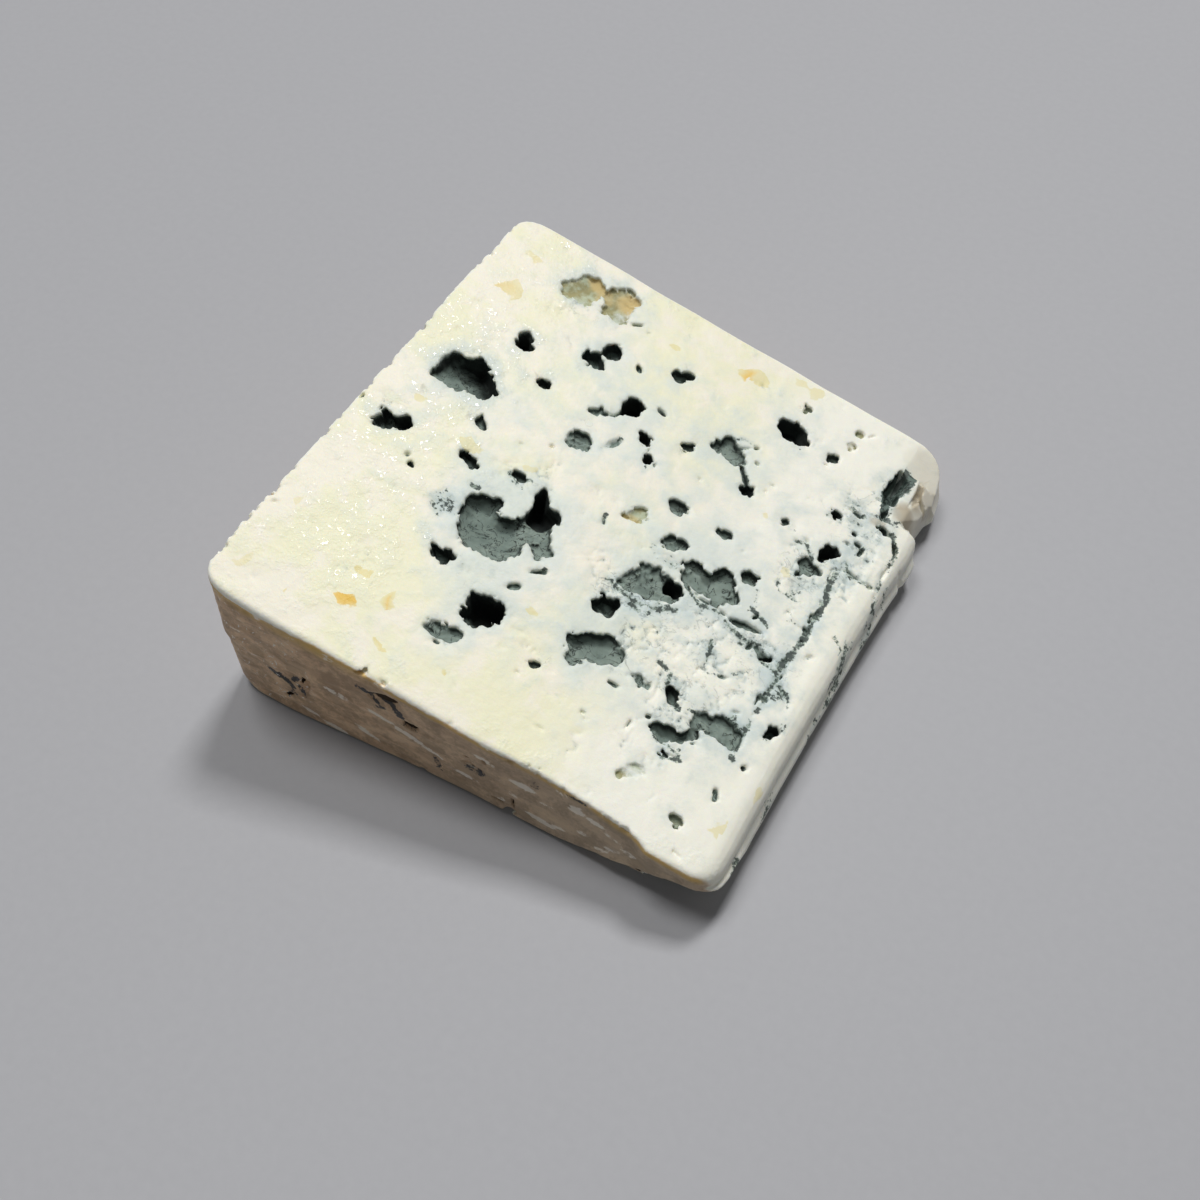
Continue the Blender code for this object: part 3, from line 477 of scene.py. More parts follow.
class Block:
    """A box of space with its coordinates, as arrays that spread over each other."""

    def __init__(self, low, counts):
        self.low = low
        self.counts = counts
        self.axes = [(low[k] + np.arange(counts[k])).astype(np.float32) * VOXEL for k in range(3)]
        self.x = self.axes[0][:, None, None]
        self.y = self.axes[1][None, :, None]
        self.z = self.axes[2][None, None, :]
        self.plan_x = self.axes[0][:, None]
        self.plan_y = self.axes[1][None, :]
        self.out = (self.x - RIM_X) * sin(SLOPE) + (self.z - RIM_HEIGHT) * cos(SLOPE)
        self.along = self.x - self.out * sin(SLOPE)

    def field(self, points, triangles=None, quads=None):
        """Distances to a closed surface within the band, negative inside it."""
        made = openvdb.FloatGrid.createLevelSetFromPolygons(
            points, triangles=triangles, quads=quads, transform=openvdb.createLinearTransform(VOXEL),
            halfWidth=BAND)
        values = np.zeros(self.counts, np.float32)
        made.copyToArray(values, ijk=self.low)
        return values

    def surface(self, values):
        """Points and quads where a field is zero."""
        grid = openvdb.FloatGrid(float(VOXEL * BAND))
        grid.transform = openvdb.createLinearTransform(VOXEL)
        grid.copyFromArray(values, ijk=self.low)
        return grid.convertToQuads()

    def near(self, x_range, y_range, z_range):
        """Slices for the part of the block between ranges, and that part as a block."""
        slices, low, counts = [], [], []
        for k, (start, end) in enumerate((x_range, y_range, z_range)):
            first = max(0, int(np.floor(start / VOXEL)) - self.low[k])
            last = min(self.counts[k], int(np.ceil(end / VOXEL)) - self.low[k] + 1)
            slices.append(slice(first, last))
            low.append(self.low[k] + first)
            counts.append(last - first)
        return tuple(slices), Block(tuple(low), tuple(counts))

    def layer(self, values, heights):
        """A flat map of the values at one height for each x."""
        places = np.clip(heights / VOXEL - self.low[2], 0, self.counts[2] - 2)
        low = np.floor(places).astype(int)
        part = (places - low)[:, None].astype(np.float32)
        rows = np.arange(self.counts[0])
        return values[rows, :, low] * (1 - part) + values[rows, :, low + 1] * part


def top_height(x):
    return RIM_HEIGHT - (x - RIM_X) * tan(SLOPE)


def heights_under(block, down):
    """For each x, the height of a place straight under the cut face by that much."""
    return RIM_HEIGHT + (-down - (block.axes[0] - RIM_X) * sin(SLOPE)) / cos(SLOPE)


def whole_block(points):
    low = np.floor(points.min(0) / VOXEL).astype(int) - MARGIN
    high = np.ceil(points.max(0) / VOXEL).astype(int) + MARGIN
    return Block(tuple(int(v) for v in low), tuple(int(v) for v in high - low + 1))


def add(name, data):
    """An object in the scene with the data in it."""
    made = bpy.data.objects.new(name, data)
    bpy.context.scene.collection.objects.link(made)
    return made


def mesh_of(block, values, name):
    """The surface where the field is zero, as an object in metres on the frame's axes."""
    points, quads = block.surface(values)
    points = (points - MIDDLE) * MM
    mesh = bpy.data.meshes.new(name)
    mesh.vertices.add(len(points))
    mesh.vertices.foreach_set("co", points.astype(np.float32).ravel())
    mesh.loops.add(len(quads) * 4)
    mesh.loops.foreach_set("vertex_index", quads.astype(np.int32).ravel())
    mesh.polygons.add(len(quads))
    mesh.polygons.foreach_set("loop_start", np.arange(len(quads), dtype=np.int32) * 4)
    mesh.update(calc_edges=True)
    return add(name, mesh)


def cut_face_part(block, solid):
    """Where the plain cut face is: 1 there, and 0 near the sides, the base and the broken corner."""
    middle = block.layer(solid, 0.5 * top_height(block.axes[0]))
    broken = smooth(*BROKEN_X, block.plan_x) * smooth(*BROKEN_Y, block.plan_y)
    thin = smooth(*THIN_X, block.plan_x)
    inner = smooth(0.0, 1.0, (-middle - 0.6 - 1.6 * thin) / (0.9 + 0.9 * thin)) * (1.0 - broken)
    return inner[:, :, None] * smooth(1.6, 3.0, block.z), inner


def without_hollows(block, solid, part):
    """The field of the same portion with no hollows in its cut face."""
    return solid + (block.out - solid) * part


def open_upwards(block, solid):
    """Distances to the hollows' walls alone, which are carried straight up through the cut face."""
    mouth = block.layer(solid, heights_under(block, MOUTH_DEPTH))
    walls = np.where(block.out > -MOUTH_DEPTH, mouth[:, :, None], solid)
    points, quads = block.surface(walls)
    return block.field(points, quads=quads)


def pit_shape(first, second, down, length, width, turn, depth, noise):
    """Distance into an uneven oval pit, above 0 inside it."""
    c, s = cos(radians(turn)), sin(radians(turn))
    along = (first * c + second * s) / (0.5 * length)
    across = (second * c - first * s) / (0.5 * width)
    size = np.abs(along) ** PIT_OUTLINE + np.abs(across) ** PIT_OUTLINE
    size = (size + (np.minimum(down, 0.0) / -depth) ** PIT_BOWL) ** (1 / PIT_OUTLINE)
    return (1.0 - size) * 0.5 * width - SMALL_RAGGED * width * noise


def cut_small_hollows(block, values):
    """Carve the hollows that are too small for the solid."""
    for i, (x, y, length, width, turn, depth) in enumerate(SMALL_HOLLOWS):
        reach = 0.5 * length + 1.0
        part, near = block.near((x - reach, x + reach), (y - reach, y + reach),
                                (top_height(x) - depth - 1.5, top_height(x) + 2.0))
        shape = pit_shape(near.along - x, near.y - y, near.out, length, width, turn, depth,
                          rough_grain(near.axes, 0.9, 100 + i))
        values[part] = smooth_max(values[part], shape, SMALL_JOIN)
    for i, (seen_x, seen_z, length, width, turn, depth) in enumerate(FRONT_PITS):
        x, z = seen_x - SEEN_SIDEWAYS * RIND_BEHIND, seen_z - SEEN_UPWARDS * RIND_BEHIND
        reach = 0.5 * max(length, width) + 1.0
        part, near = block.near((x - reach, x + reach), (FRONT_Y - 3.0, FRONT_Y + 2.5 + depth),
                                (z - reach, z + reach))
        shape = pit_shape(near.x - x, near.z - z, FRONT_Y + PIT_START - near.y, length, width, turn,
                          depth + PIT_START, rough_grain(near.axes, 0.9, 200 + i))
        values[part] = smooth_max(values[part], shape, SMALL_JOIN)


def route_distance(x, y, route):
    """Distance in the plan from a route, and how far along it the nearest place is, from 0 to 1."""
    best = np.full(np.broadcast(x, y).shape, 1e3, np.float32)
    where = np.zeros_like(best)
    lengths = [np.hypot(b[0] - a[0], b[1] - a[1]) for a, b in zip(route, route[1:])]
    passed = 0.0
    for (ax, ay), (bx, by), length in zip(route, route[1:], lengths):
        t = np.clip(((x - ax) * (bx - ax) + (y - ay) * (by - ay)) / length ** 2, 0.0, 1.0)
        gap = np.hypot(x - ax - t * (bx - ax), y - ay - t * (by - ay))
        closer = gap < best
        best = np.where(closer, gap, best)
        where = np.where(closer, (passed + t * length) / sum(lengths), where)
        passed += length
    return best, where


def cut_cracks(block, values):
    """Carve thin cracks along their routes."""
    for i, (route, width, depth) in enumerate(CRACKS):
        xs, ys = [p[0] for p in route], [p[1] for p in route]
        part, near = block.near((min(xs) - 1.5, max(xs) + 1.5), (min(ys) - 1.5, max(ys) + 1.5),
                                (top_height(max(xs)) - depth - 1.0, top_height(min(xs)) + 1.5))
        wander = 0.35 * grain(near.axes, 1.6, 300 + i)
        gap, where = route_distance(near.along, near.y, route)
        taper = np.minimum(1.0, 5.0 * np.minimum(where, 1.0 - where) + 0.25)
        down = np.clip(-near.out / depth, 0.0, 2.0)
        shape = gap + wander * 0.6 - 0.5 * width * taper * (1.0 - down ** 2)
        values[part] = smooth_max(values[part], -shape, CRACK_JOIN)


def vein_map(x, y, wobble):
    """How close places are to the veins: 1 on a strong one, and 0 well beside them."""
    total = np.zeros(np.broadcast(x, y).shape, np.float32)
    for width, strength, *route in VEINS:
        reach = VEIN_WIDTH * width + VEIN_EDGE
        low_x, high_x = min(p[0] for p in route) - reach, max(p[0] for p in route) + reach
        low_y, high_y = min(p[1] for p in route) - reach, max(p[1] for p in route) + reach
        near = np.flatnonzero((x > low_x) & (x < high_x) & (y > low_y) & (y < high_y))
        gap = route_distance(x[near], y[near], route)[0] + wobble[near]
        total[near] = np.maximum(total[near], strength * smooth(reach, 0.0, gap))
    return total


def crumble_map(block):
    """Where the face is crumbly, from 0 to 1, as a flat map."""
    total = np.zeros((block.counts[0], block.counts[1]), np.float32)
    for x, y, reach in CRUMBLY:
        total = np.maximum(total, 1.0 - np.hypot(block.plan_x - x, block.plan_y - y) / reach)
    patchy = rough_grain(block.axes[:2], 5.0, 21)
    return smooth(0.0, 0.5, total + 0.3 * patchy)


def spots(x, y, rows):
    """Soft ovals at places: rows of x, y, length, width, turn and strength."""
    total = np.zeros(np.broadcast(x, y).shape, np.float32)
    for spot_x, spot_y, length, width, turn, strength in rows:
        c, s = cos(radians(turn)), sin(radians(turn))
        first = ((x - spot_x) * c + (y - spot_y) * s) / (0.5 * length)
        second = ((y - spot_y) * c - (x - spot_x) * s) / (0.5 * width)
        total = np.maximum(total, strength * smooth(*SPOT_FADE, np.hypot(first, second)))
    return total


def face_relief(block, crumble, smeared):
    """How far the cut face lies inside the plain shape, in mm."""
    folds = np.abs(rough_grain(block.axes, 3.4, 31, 4, 0.55))
    creases = smooth(0.14, 0.0, folds)
    lumps = rough_grain(block.axes, 2.4, 41, 3)
    grains = rough_grain(block.axes, 0.9, 51, 2)
    crumbs = crumble[:, :, None] * (0.05 + 0.10 * (1.0 + lumps) + 0.32 * creases)
    pebbles = smeared[:, :, None] * (0.16 + 0.24 * grains)
    waves = 0.06 * (2.2 + grain(block.axes, 7.0, 61))
    on_face = smooth(-3.5, -0.5, block.out)
    return (crumbs + pebbles) * on_face + waves * smooth(0.3, 1.0, block.z) + LEAST_INSIDE, creases


def side_relief(block):
    """How far the flat sides lie inside the plain shape, in mm: long wrinkles and dents."""
    wrinkles = grain(block.axes, (5.0, 3.0, 1.1), 71) + 0.6 * rough_grain(block.axes, (2.6, 2.0, 0.9), 72)
    side = smooth(-1.2, -2.2, block.out) * smooth(0.6, 2.0, block.z) * smooth(38.0, 34.0, block.x)
    return side * 0.14 * (1.4 + wrinkles)


def tear_noise(block):
    """Uneven pull on the hollows' walls, torn into angular bits near the mouth."""
    coarse, coarse_number = patches(block.axes, 1.9, 12)
    fine, fine_number = patches(block.axes, 0.95, 13)
    bits = (0.9 * (coarse_number - 0.5) + 0.6 * (0.45 - coarse)
            + (fine_number - 0.5) + 0.6 * (0.45 - fine))
    near_mouth = 0.15 + 0.85 * smooth(-2.0, -1.0, block.out)
    return 0.3 * rough_grain(block.axes, 2.6, 11, 3) + bits[:, :, None] * near_mouth


def islands(block):
    """Heights of the bits of cheese that bridge the long vein, as a flat map."""
    far, number = patches(block.axes, ISLAND_SIZE, 15)
    near_vein = smooth(2.2, 1.2, route_distance(block.plan_x, block.plan_y, LONG_VEIN)[0])
    return ISLAND_HEIGHT * (near_vein * smooth(0.45, 0.52, number) * smooth(0.75, 0.5, far))


def hollow_map(block, values):
    """Where the cut face has a hollow under it, as a flat map that reaches a little past the mouths."""
    found = np.zeros((block.counts[0], block.counts[1]), bool)
    for down in (0.45, 1.5, 3.0):
        gaps = block.layer(values, heights_under(block, down)) > 0.0
        found |= gaps & ~reached_from_edge(gaps)
    return found.astype(np.float32)


def carve(block, solid):
    """The whole piece's field, the field of its face alone, and what they were made with."""
    part, inner = cut_face_part(block, solid)
    tear = tear_noise(block)
    walls = open_upwards(block, solid) + part * (WIDER + RAGGED * tear)
    old = spots(block.plan_x, block.plan_y, OLD_MOULD)
    floors = OLD_DEPTH + OLD_UNEVEN * rough_grain(block.axes[:2], 2.4, 14) + NO_FLOOR * smooth(0.7, 0.0, old)
    walls = np.minimum(walls, block.out + floors[:, :, None])
    walls = walls - islands(block)[:, :, None] * smooth(-2.4, -1.4, block.out)
    away = smooth(0.5, 3.5, -block.layer(solid, 0.5 * top_height(block.axes[0]))) * inner
    crumble = crumble_map(block) * away
    smeared = spots(block.plan_x, block.plan_y, SMEARS) * away
    each_x = np.repeat(block.axes[0], block.counts[1])
    each_y = np.tile(block.axes[1], block.counts[0])
    wobble = VEIN_WOBBLE * grain(block.axes[:2], 1.8, 17)
    veins = vein_map(each_x, each_y, wobble.ravel()).reshape(crumble.shape) * away
    relief, creases = face_relief(block, crumble, np.maximum(smeared, veins))
    face = without_hollows(block, solid, part) + relief + side_relief(block)
    values = smooth_max(face, walls, MOUTH_JOIN)
    cut_small_hollows(block, values)
    cut_cracks(block, values)
    haze = np.clip(4.5 * spread(np.maximum(veins, 0.8 * smeared), 1.5), 0.0, 1.0)
    fields = {"face": face, "tear": tear, "creases": creases}
    return values, fields, {"crumble": crumble, "inner": inner, "haze": haze}


def fewer_faces(piece):
    """Thin the mesh out to the most faces that a piece may have."""
    change = piece.modifiers.new("fewer faces", "DECIMATE")
    triangles = 2 * len(piece.data.polygons)
    change.ratio = min(1.0, MOST_FACES / triangles)
    evaluated = piece.evaluated_get(bpy.context.evaluated_depsgraph_get())
    mesh = bpy.data.meshes.new_from_object(evaluated)
    piece.modifiers.clear()
    mesh.validate()
    piece.data = mesh


def read_map(block, values, x, y):
    """A flat map's values at places."""
    i = np.clip(x / VOXEL - block.low[0], 0, block.counts[0] - 1.001)
    j = np.clip(y / VOXEL - block.low[1], 0, block.counts[1] - 1.001)
    i0, j0 = i.astype(int), j.astype(int)
    a, b = i - i0, j - j0
    near = values[i0, j0] * (1 - b) + values[i0, j0 + 1] * b
    far = values[i0 + 1, j0] * (1 - b) + values[i0 + 1, j0 + 1] * b
    return near * (1 - a) + far * a


def read_field(block, values, places):
    """A field's values at places in space."""
    steps = [np.clip(places[:, k] / VOXEL - block.low[k], 0, block.counts[k] - 1.001) for k in range(3)]
    low = [step.astype(int) for step in steps]
    part = [step - whole for step, whole in zip(steps, low)]
    total = 0.0
    for corner in np.ndindex(2, 2, 2):
        weight = 1.0
        for k in range(3):
            weight = weight * (part[k] if corner[k] else 1 - part[k])
        total = total + weight * values[tuple(low[k] + corner[k] for k in range(3))]
    return total


def slope_of(block, field, places):
    """Which way a field grows at places, as unit directions."""
    rows = []
    for axis in range(3):
        step = np.zeros(3, np.float32)
        step[axis] = 2 * VOXEL
        rows.append(read_field(block, field, places + step) - read_field(block, field, places - step))
    steep = np.stack(rows, 1)
    return steep / np.maximum(np.linalg.norm(steep, axis=1, keepdims=True), 1e-6)


def mark_surface(piece, block, values, fields, maps):
    """Store what covers each point, as numbers that the material reads: mould, stains, rind, painted shade
    and light, and more.
    """
    places = points_of(piece.data)
    x, y, z = places.T
    out = (x - RIM_X) * sin(SLOPE) + (z - RIM_HEIGHT) * cos(SLOPE)
    depth = -read_field(block, fields["face"], places)
    fray = read_field(block, fields["tear"], places)

    hollows = hollow_map(block, values)
    milky = np.clip(spread(hollows, 0.9) + 2.4 * spread(hollows, 3.6), 0.0, 1.0)
    inner = smooth(0.0, 0.3, read_map(block, maps["inner"], x, y))
    in_hollow = read_map(block, smooth(0.02, 0.2, spread(hollows, 0.5)), x, y) * inner
    on_top = smooth(-7.0, -5.0, out) * smooth(0.6, 1.5, z)
    far_x, far_y = x + 0.45 * fray, y - 0.45 * fray
    amber = [(row[0], row[1], AMBER_REACH * row[2], AMBER_REACH * row[3], *row[4:]) for row in STAINS]
    on_face = {
        "milky": read_map(block, milky, x, y),
        "crumble": read_map(block, maps["crumble"], x, y),
        "haze": read_map(block, maps["haze"], x, y),
        "crease": read_field(block, fields["creases"], places),
        "veil": smooth(*VEIL_REACH, np.hypot(x - VEIL_MIDDLE, y - VEIL_MIDDLE)),
        "vein": vein_map(x, y, VEIN_WOBBLE * fray),
        "smear": spots(far_x, far_y, SMEARS),
        "stain": spots(far_x, far_y, [(*row[:5], 1.0) for row in STAINS]),
        "amber": spots(x, y, amber),
        "pocket": spots(far_x, far_y, POCKET),
        "old": spots(x, y, OLD_MOULD),
        "golden": spots(x, y, GOLDEN),
        # painted shade on the broken corner's faces turned from the light
        "corner_shade": spots(x, y, CORNER_SHADE_SPOTS),
    }
    marks = {name: found * on_top for name, found in on_face.items()}
    wet = np.maximum(smooth(*WET_RIM, x), 0.7 * smooth(*WET_BACK, y))
    marks["wet"] = np.maximum(wet, 0.8 * smooth(*WET_FRONT, y))

    facing = slope_of(block, fields["face"], places)
    # Painted light: the face's rounded edges, outside the hollows, are whitened as if they catch the light
    rounded = smooth(0.97, 0.85, facing @ FACE_UP) * (1.0 - in_hollow)
    marks["fresh_paste_and_lit_edges"] = np.maximum(smooth(*FRESH_X, x), rounded)
    flat = np.maximum(np.abs(facing[:, 1]), -facing[:, 0])
    lip = LIP + 0.8 * smooth(-22.0, -34.0, x) + 0.35 * grain_at(block, x, y, 5.0) + 0.2 * fray
    rind = smooth(0.45, 0.7, flat) * smooth(0.75, 0.5, np.abs(facing[:, 2]))
    rind = rind * smooth(-lip + 0.15, -lip - 0.15, out)
    sides = np.maximum(smooth(*RIND_FRONT, y), smooth(*RIND_BACK, y))
    rind = rind * (1.0 - in_hollow) * np.maximum(sides, smooth(*RIND_RIM, x))
    marks["rind"] = rind
    depth = np.clip(depth, 0.0, 8.0) * np.maximum(in_hollow, rind)
    marks["depth"] = depth
    upright = read_rows(piece.data.vertex_normals, "vector") @ FACE_UP
    # Painted shade: steep walls inside the hollows, which the material paints near black
    marks["steep"] = smooth(0.85, 0.5, upright) * smooth(0.4, 0.9, depth) * in_hollow

    front = smooth(0.3, 0.6, -facing[:, 1]) * rind
    seen_x = x + SEEN_SIDEWAYS * (y - FRONT_Y) + 0.3 * fray
    seen_z = z + SEEN_UPWARDS * (y - FRONT_Y) - 0.3 * fray
    marks["pale"] = spots(seen_x, seen_z, FRONT_PALE) * front
    marks["dark"] = spots(seen_x, seen_z, FRONT_DARK) * front
    edge = 0.8 * smooth(-lip - 1.6, -lip - 0.4, out)
    marks["band"] = np.maximum(smooth(-4.5, -1.0, out) * smooth(-10.0, -26.0, x), edge) * front
    marks["grey"] = smooth(-30.0, 30.0, x) * front
    for name, found in marks.items():
        attribute = piece.data.attributes.new(name, "FLOAT", "POINT")
        attribute.data.foreach_set("value", np.asarray(found, np.float32).ravel())


def grain_at(block, x, y, cell):
    """Smooth noise read at places in the plan."""
    return read_map(block, grain(block.axes[:2], cell, 81), x, y)


class Value:
    """A number that varies over a material. Arithmetic on it adds Math nodes."""

    def __init__(self, paint, socket):
        self.paint = paint
        self.socket = socket

    def __add__(self, other):
        return self.paint.math("ADD", self, other)

    def __sub__(self, other):
        return self.paint.math("SUBTRACT", self, other)

    def __mul__(self, other):
        return self.paint.math("MULTIPLY", self, other)

    def __rsub__(self, other):
        return self.paint.math("SUBTRACT", other, self)

    def __abs__(self):
        return self.paint.math("ABSOLUTE", self, 0.0)

    __radd__ = __add__
    __rmul__ = __mul__

    def step(self, low, high):
        """0 at low, 1 at high, eased between."""
        node = self.paint.node("ShaderNodeMapRange", {"interpolation_type": "SMOOTHSTEP"},
                               {"Value": self, "From Min": low, "From Max": high})
        return Value(self.paint, node.outputs["Result"])

    def or_more(self, other):
        return self.paint.math("MAXIMUM", self, other)

    def or_less(self, other):
        return self.paint.math("MINIMUM", self, other)


class Paint:
    """One material and the nodes in it."""

    def __init__(self, name):
        self.material = bpy.data.materials.new(name)
        self.material.use_nodes = True
        self.tree = self.material.node_tree
        self.shader = self.tree.nodes["Principled BSDF"]
        self.place = self.node("ShaderNodeTexCoord").outputs["Object"]

    def set(self, socket, value):
        """Link or set one socket."""
        if isinstance(value, Value):
            value = value.socket
        if isinstance(value, bpy.types.NodeSocket):
            self.tree.links.new(value, socket)
        else:
            socket.default_value = value

    def node(self, kind, settings=None, inputs=None):
        """A node with its settings, and values or links for its sockets."""
        node = self.tree.nodes.new(kind)
        for name, value in (settings or {}).items():
            setattr(node, name, value)
        for key, value in (inputs or {}).items():
            self.set(node.inputs[key], value)
        return node

    def math(self, operation, first, second):
        node = self.node("ShaderNodeMath", {"operation": operation}, {0: first, 1: second})
        return Value(self, node.outputs[0])

    def mark(self, name):
        """A number stored on the mesh."""
        return Value(self, self.node("ShaderNodeAttribute", {"attribute_name": name}).outputs["Fac"])

    def noise(self, size, detail=3.0, rough=0.55, bend=0.0, squeeze=None):
        """Noise from 0 to 1 with lumps about size mm wide. squeeze scales the axes first."""
        place = self.place
        if squeeze:
            place = self.node("ShaderNodeMapping", {}, {"Vector": place, "Scale": squeeze}).outputs[0]
        inputs = {"Vector": place, "Scale": 1.0 / (size * MM), "Detail": detail, "Roughness": rough}
        node = self.node("ShaderNodeTexNoise", {}, {**inputs, "Distortion": bend})
        return Value(self, node.outputs["Fac"])

    def mix(self, factor, first, second):
        """One colour over another."""
        node = self.node("ShaderNodeMix", {"data_type": "RGBA"}, {0: factor})
        for index, colour in ((6, first), (7, second)):
            if isinstance(colour, tuple):
                colour = (*colour, 1.0)
            self.set(node.inputs[index], colour)
        return node.outputs[2]

    def bump(self, height, distance, strength, normal=None):
        inputs = {"Height": height, "Distance": distance * MM, "Strength": strength}
        if normal:
            inputs["Normal"] = normal
        return self.node("ShaderNodeBump", {}, inputs).outputs["Normal"]

    def finish(self, **sockets):
        """Feed the shader, with spaces in socket names written as underscores."""
        for name, value in sockets.items():
            self.set(self.shader.inputs[name.replace("_", " ")], value)
        return self.material


def cheese_material():
    """Ivory paste, grey-green mould in the hollows, blue veins, amber spots and a brown-grey rind, plus
    painted shade and light.
    """
    paint = Paint("cheese")
    depth, milky, crumble, crease, smear = map(paint.mark, ("depth", "milky", "crumble", "crease", "smear"))
    stain, old, rind, corner_shade, steep = map(paint.mark, ("stain", "old", "rind", "corner_shade", "steep"))
    vein, veil, amber, golden, wet = map(paint.mark, ("vein", "veil", "amber", "golden", "wet"))
    fresh_paste_and_lit_edges, haze, pocket, pale = map(paint.mark, ("fresh_paste_and_lit_edges", "haze", "pocket", "pale"))
    dark, band, grey = map(paint.mark, ("dark", "band", "grey"))

    broad = paint.noise(16.0, 2.0)
    cloudy = paint.noise(3.5, 4.0, 0.6)
    patchy = paint.noise(1.4, 4.0, 0.65)
    speck = paint.noise(0.6, 3.0, 0.65)
    folds = paint.noise(3.6, 5.0, 0.6, 0.5)
    clouds, bits, grains = cloudy - 0.5, patchy - 0.5, speck - 0.5

    paste = paint.mix((broad + (folds - 0.5) * 0.7).step(0.38, 0.6), CREAM, IVORY)
    # Whiter paste where freshly broken, and painted light on the face's rounded edges
    paste = paint.mix((fresh_paste_and_lit_edges + clouds * 0.5).step(0.0, 1.0) * 0.85, paste, FRESH_AND_LIT_PASTE)
    milk = (milky + veil * 0.35 + clouds * 1.6 + (folds - 0.5) * 1.4 - crumble * 0.45).step(0.0, 1.2)
    paste = paint.mix(milk * 0.85, paste, MILK)
    tinted = (milky * 0.6 - crumble * 0.1 + bits + clouds * 1.3).step(0.35, 1.15)
    paste = paint.mix(tinted * 0.4, paste, VEIN_PALE)
    hazy = (haze + clouds * 1.2 + bits * 0.8).step(0.1, 1.0)
    paste = paint.mix(hazy * 0.75, paste, VEIL)
    lines = abs(folds - 0.5).step(0.03, 0.006) * (patchy + cloudy * 0.5).step(0.66, 0.82)
    paste = paint.mix(lines * (crumble * 0.9 + milky * 0.3).step(0.3, 0.8) * 0.4, paste, VEIN)
    torn = crumble.step(0.1, 0.6) * (patchy + cloudy).step(0.80, 1.02)
    paste = paint.mix(torn * crease.step(0.1, 0.6) * 0.55, paste, VEIN_PALE)
    paste = paint.mix(torn * crease.step(0.62, 0.92) * 0.85, paste, VEIN)
    # Painted shade: beige on the broken corner's faces turned from the light
    paste = paint.mix(corner_shade, paste, CORNER_SHADE)
    veiled = (smear + vein * 0.8 + bits * 1.2).step(0.1, 0.9)
    paste = paint.mix(veiled * 0.38, paste, VEIN_PALE)
    pebbles = (smear * 1.1 + bits * 2.4 + grains * 1.8 - 0.8).step(0.0, 0.3)
    pebbles = pebbles * smear.step(0.0, 0.25)
    veined = (vein + bits * 1.5 + grains * 1.3).step(0.46, 0.72) * vein.step(0.0, 0.2)
    smeared = pebbles.or_more(veined)
    core = (vein.or_more(smear * 0.8) + grains * 2.2 + bits * 2.0).step(0.62, 0.85)
    mouldy = paint.mix(core, VEIN_GREEN, VEIN)
    paste = paint.mix(smeared * 0.9, paste, mouldy)
    spotted = (stain + bits * 0.8).step(0.42, 0.56)
    paste = paint.mix(spotted * (amber * 0.75 + 0.25), paste, paint.mix(amber.step(0.45, 0.95), STRAW, AMBER))

    # Paler mould in cloudy patches, and painted light that makes shallow hollow floors paler
    pale_mould_and_lit_floor = (cloudy.step(0.35, 0.7) * 0.7 + depth.step(2.4, 1.0) * 0.5).or_less(1.0)
    mould = paint.mix(pale_mould_and_lit_floor, MOULD, PALE_MOULD_AND_LIT_FLOOR)
    cracks = abs(paint.noise(2.4, 4.0, 0.62, 0.8) - 0.5).step(0.022, 0.007)
    cracks = cracks * (cloudy + patchy).step(0.86, 1.04)
    mould = paint.mix(cracks * 0.85, mould, DARK_MOULD_AND_SHADE)
    mould = paint.mix(patchy.step(0.55, 0.75) * 0.25, mould, DARK_MOULD_AND_SHADE)
    aged = paint.mix(golden, paint.mix(cloudy.step(0.42, 0.58), OLIVE, SAGE), GOLD)
    mould = paint.mix(old, mould, aged)
    # Painted shade: the hollows' deep parts and steep walls are painted near black, as their shadow
    shaded = (depth.step(3.2, 5.0) + steep * 0.9 * (1.0 - old * 0.75)).or_less(1.0)
    mould = paint.mix(shaded, mould, DARK_MOULD_AND_SHADE)
    inside = (depth + grains * 0.5).step(0.25, 0.6)
    colour = paint.mix(inside, paste, mould)
    grown = (pocket + bits * 1.2 + grains * 0.6).step(0.42, 0.6)
    colour = paint.mix(grown, colour, paint.mix((patchy + speck - 1.0).step(-0.1, 0.12), VEIN, MOULD))

    streaks = paint.noise(4.0, 5.0, 0.7, 0.4, (0.5, 1.0, 1.3))
    skin = paint.mix((streaks + bits * 0.4).step(0.40, 0.60), RIND_DARK, RIND)
    skin = paint.mix(grey * 0.6, skin, RIND_GREY)
    skin = paint.mix((cloudy + speck * 0.4).step(0.80, 0.58) * 0.3, skin, RIND_DUSKY_AND_PIT_SHADE)
    skin = paint.mix(band * (streaks * 1.6 - 0.3).step(0.0, 0.6), skin, RIND_OCHRE)
    flecks = ((streaks - 0.58) * 4.0 + pale * 1.9 + grains * 1.6 + bits * 2.0).step(0.5, 1.1)
    skin = paint.mix(flecks * 0.7, skin, RIND_PALE)
    bruised = (dark + bits * 2.2 + grains * 1.4).step(0.35, 0.7) * dark.step(0.0, 0.25)
    skin = paint.mix(bruised * 0.95, skin, RIND_BLUE)
    # Painted shade: the rind darkens in its pits, more where they are deeper
    skin = paint.mix(depth.step(1.0, 1.9), skin, RIND_DUSKY_AND_PIT_SHADE)
    beads = paint.noise(0.7, 1.0, 0.5, 1.0)
    # Painted highlights: tiny white glints painted on the wet rind at the left end
    painted_rind_glints = (beads + clouds * 0.4).step(0.68, 0.72) * wet.step(0.9, 1.0)
    skin = paint.mix(painted_rind_glints * 0.7, skin, PAINTED_RIND_GLINT)
    colour = paint.mix(rind, colour, skin)

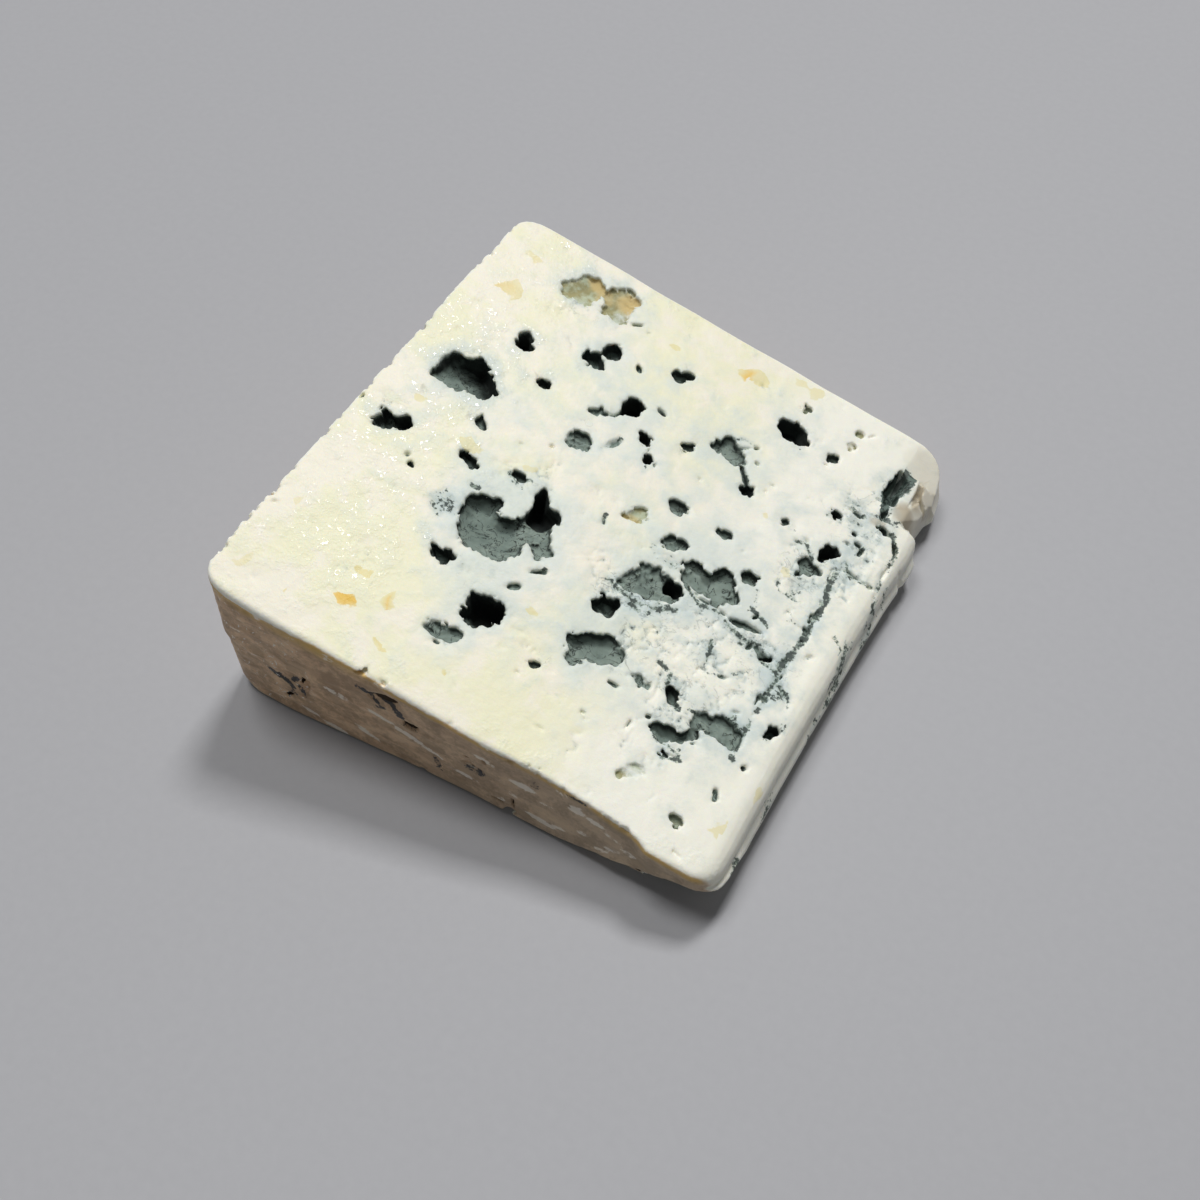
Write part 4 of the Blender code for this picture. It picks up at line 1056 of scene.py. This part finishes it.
    damp = (wet * 0.8 + clouds * 1.8 + (broad - 0.5) * 1.2).step(0.62, 0.95)
    glints = beads.step(0.66, 0.71) * damp * (1.0 - inside)
    rough = 0.34 + speck * 0.14 + inside * 0.45 + smeared * 0.2 + rind * 0.12
    normal = paint.bump(speck, 0.08, 0.2)
    normal = paint.bump(patchy, 0.15, 0.2, normal)
    normal = paint.bump(cloudy, 0.5, 0.25, normal)
    normal = paint.bump(beads * damp, 0.25, 0.25, normal)
    return paint.finish(Base_Color=colour, Roughness=rough, Normal=normal, Subsurface_Weight=0.25,
                        Subsurface_Radius=(1.0, 0.85, 0.6), Subsurface_Scale=MM,
                        Specular_IOR_Level=0.22, Coat_Weight=glints * 0.6, Coat_Roughness=0.16)


def floor_material():
    paint = Paint("floor")
    grainy = paint.noise(1.5, 3.0)
    return paint.finish(Base_Color=paint.mix(grainy, FLOOR, FLOOR_DARK), Roughness=0.6)


def make_floor():
    mesh = bpy.data.meshes.new("floor")
    corners = [(x * FLOOR_HALF, y * FLOOR_HALF, 0) for x, y in ((-1, -1), (1, -1), (1, 1), (-1, 1))]
    mesh.from_pydata(corners, [], [(0, 1, 2, 3)])
    mesh.materials.append(floor_material())
    add("floor", mesh)


def light_scene():
    """Soft square lights that look at the cheese, and a dim even sky."""
    for name, direction, distance, size, power in LIGHTS:
        lamp = bpy.data.lights.new(name, "AREA")
        lamp.shape = "SQUARE"
        lamp.size = size
        lamp.energy = power
        light = add(name, lamp)
        light.location = Vector(direction).normalized() * distance
        light.rotation_euler = (-light.location).to_track_quat("-Z", "Y").to_euler()
    world = bpy.data.worlds.new("studio")
    world.use_nodes = True
    sky = world.node_tree.nodes["Background"].inputs
    sky["Color"].default_value = (*SKY, 1.0)
    sky["Strength"].default_value = SKY_STRENGTH
    bpy.context.scene.world = world
    bpy.context.scene.view_settings.view_transform = "Standard"


def make_camera():
    data = bpy.data.cameras.new("camera")
    data.lens = CAMERA_LENS
    data.sensor_width = CAMERA_SENSOR
    camera = add("camera", data)
    camera.location = (Vector(CAMERA_PLACE) - Vector((CENTRE_X, CENTRE_Y, 0.0))) * MM
    camera.rotation_euler = (-Vector(CAMERA_PLACE)).to_track_quat("-Z", "Y").to_euler()
    bpy.context.scene.camera = camera


def make_cheese():
    points, corners = solid_points()
    block = whole_block(points)
    values, fields, maps = carve(block, block.field(points, triangles=corners))
    piece = mesh_of(block, values, "cheese")
    fewer_faces(piece)
    piece.data.shade_smooth()
    mark_surface(piece, block, values, fields, maps)
    piece.data.materials.append(cheese_material())
    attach(piece, "root")
    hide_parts(NODE)


make_camera()
light_scene()
make_floor()
make_cheese()
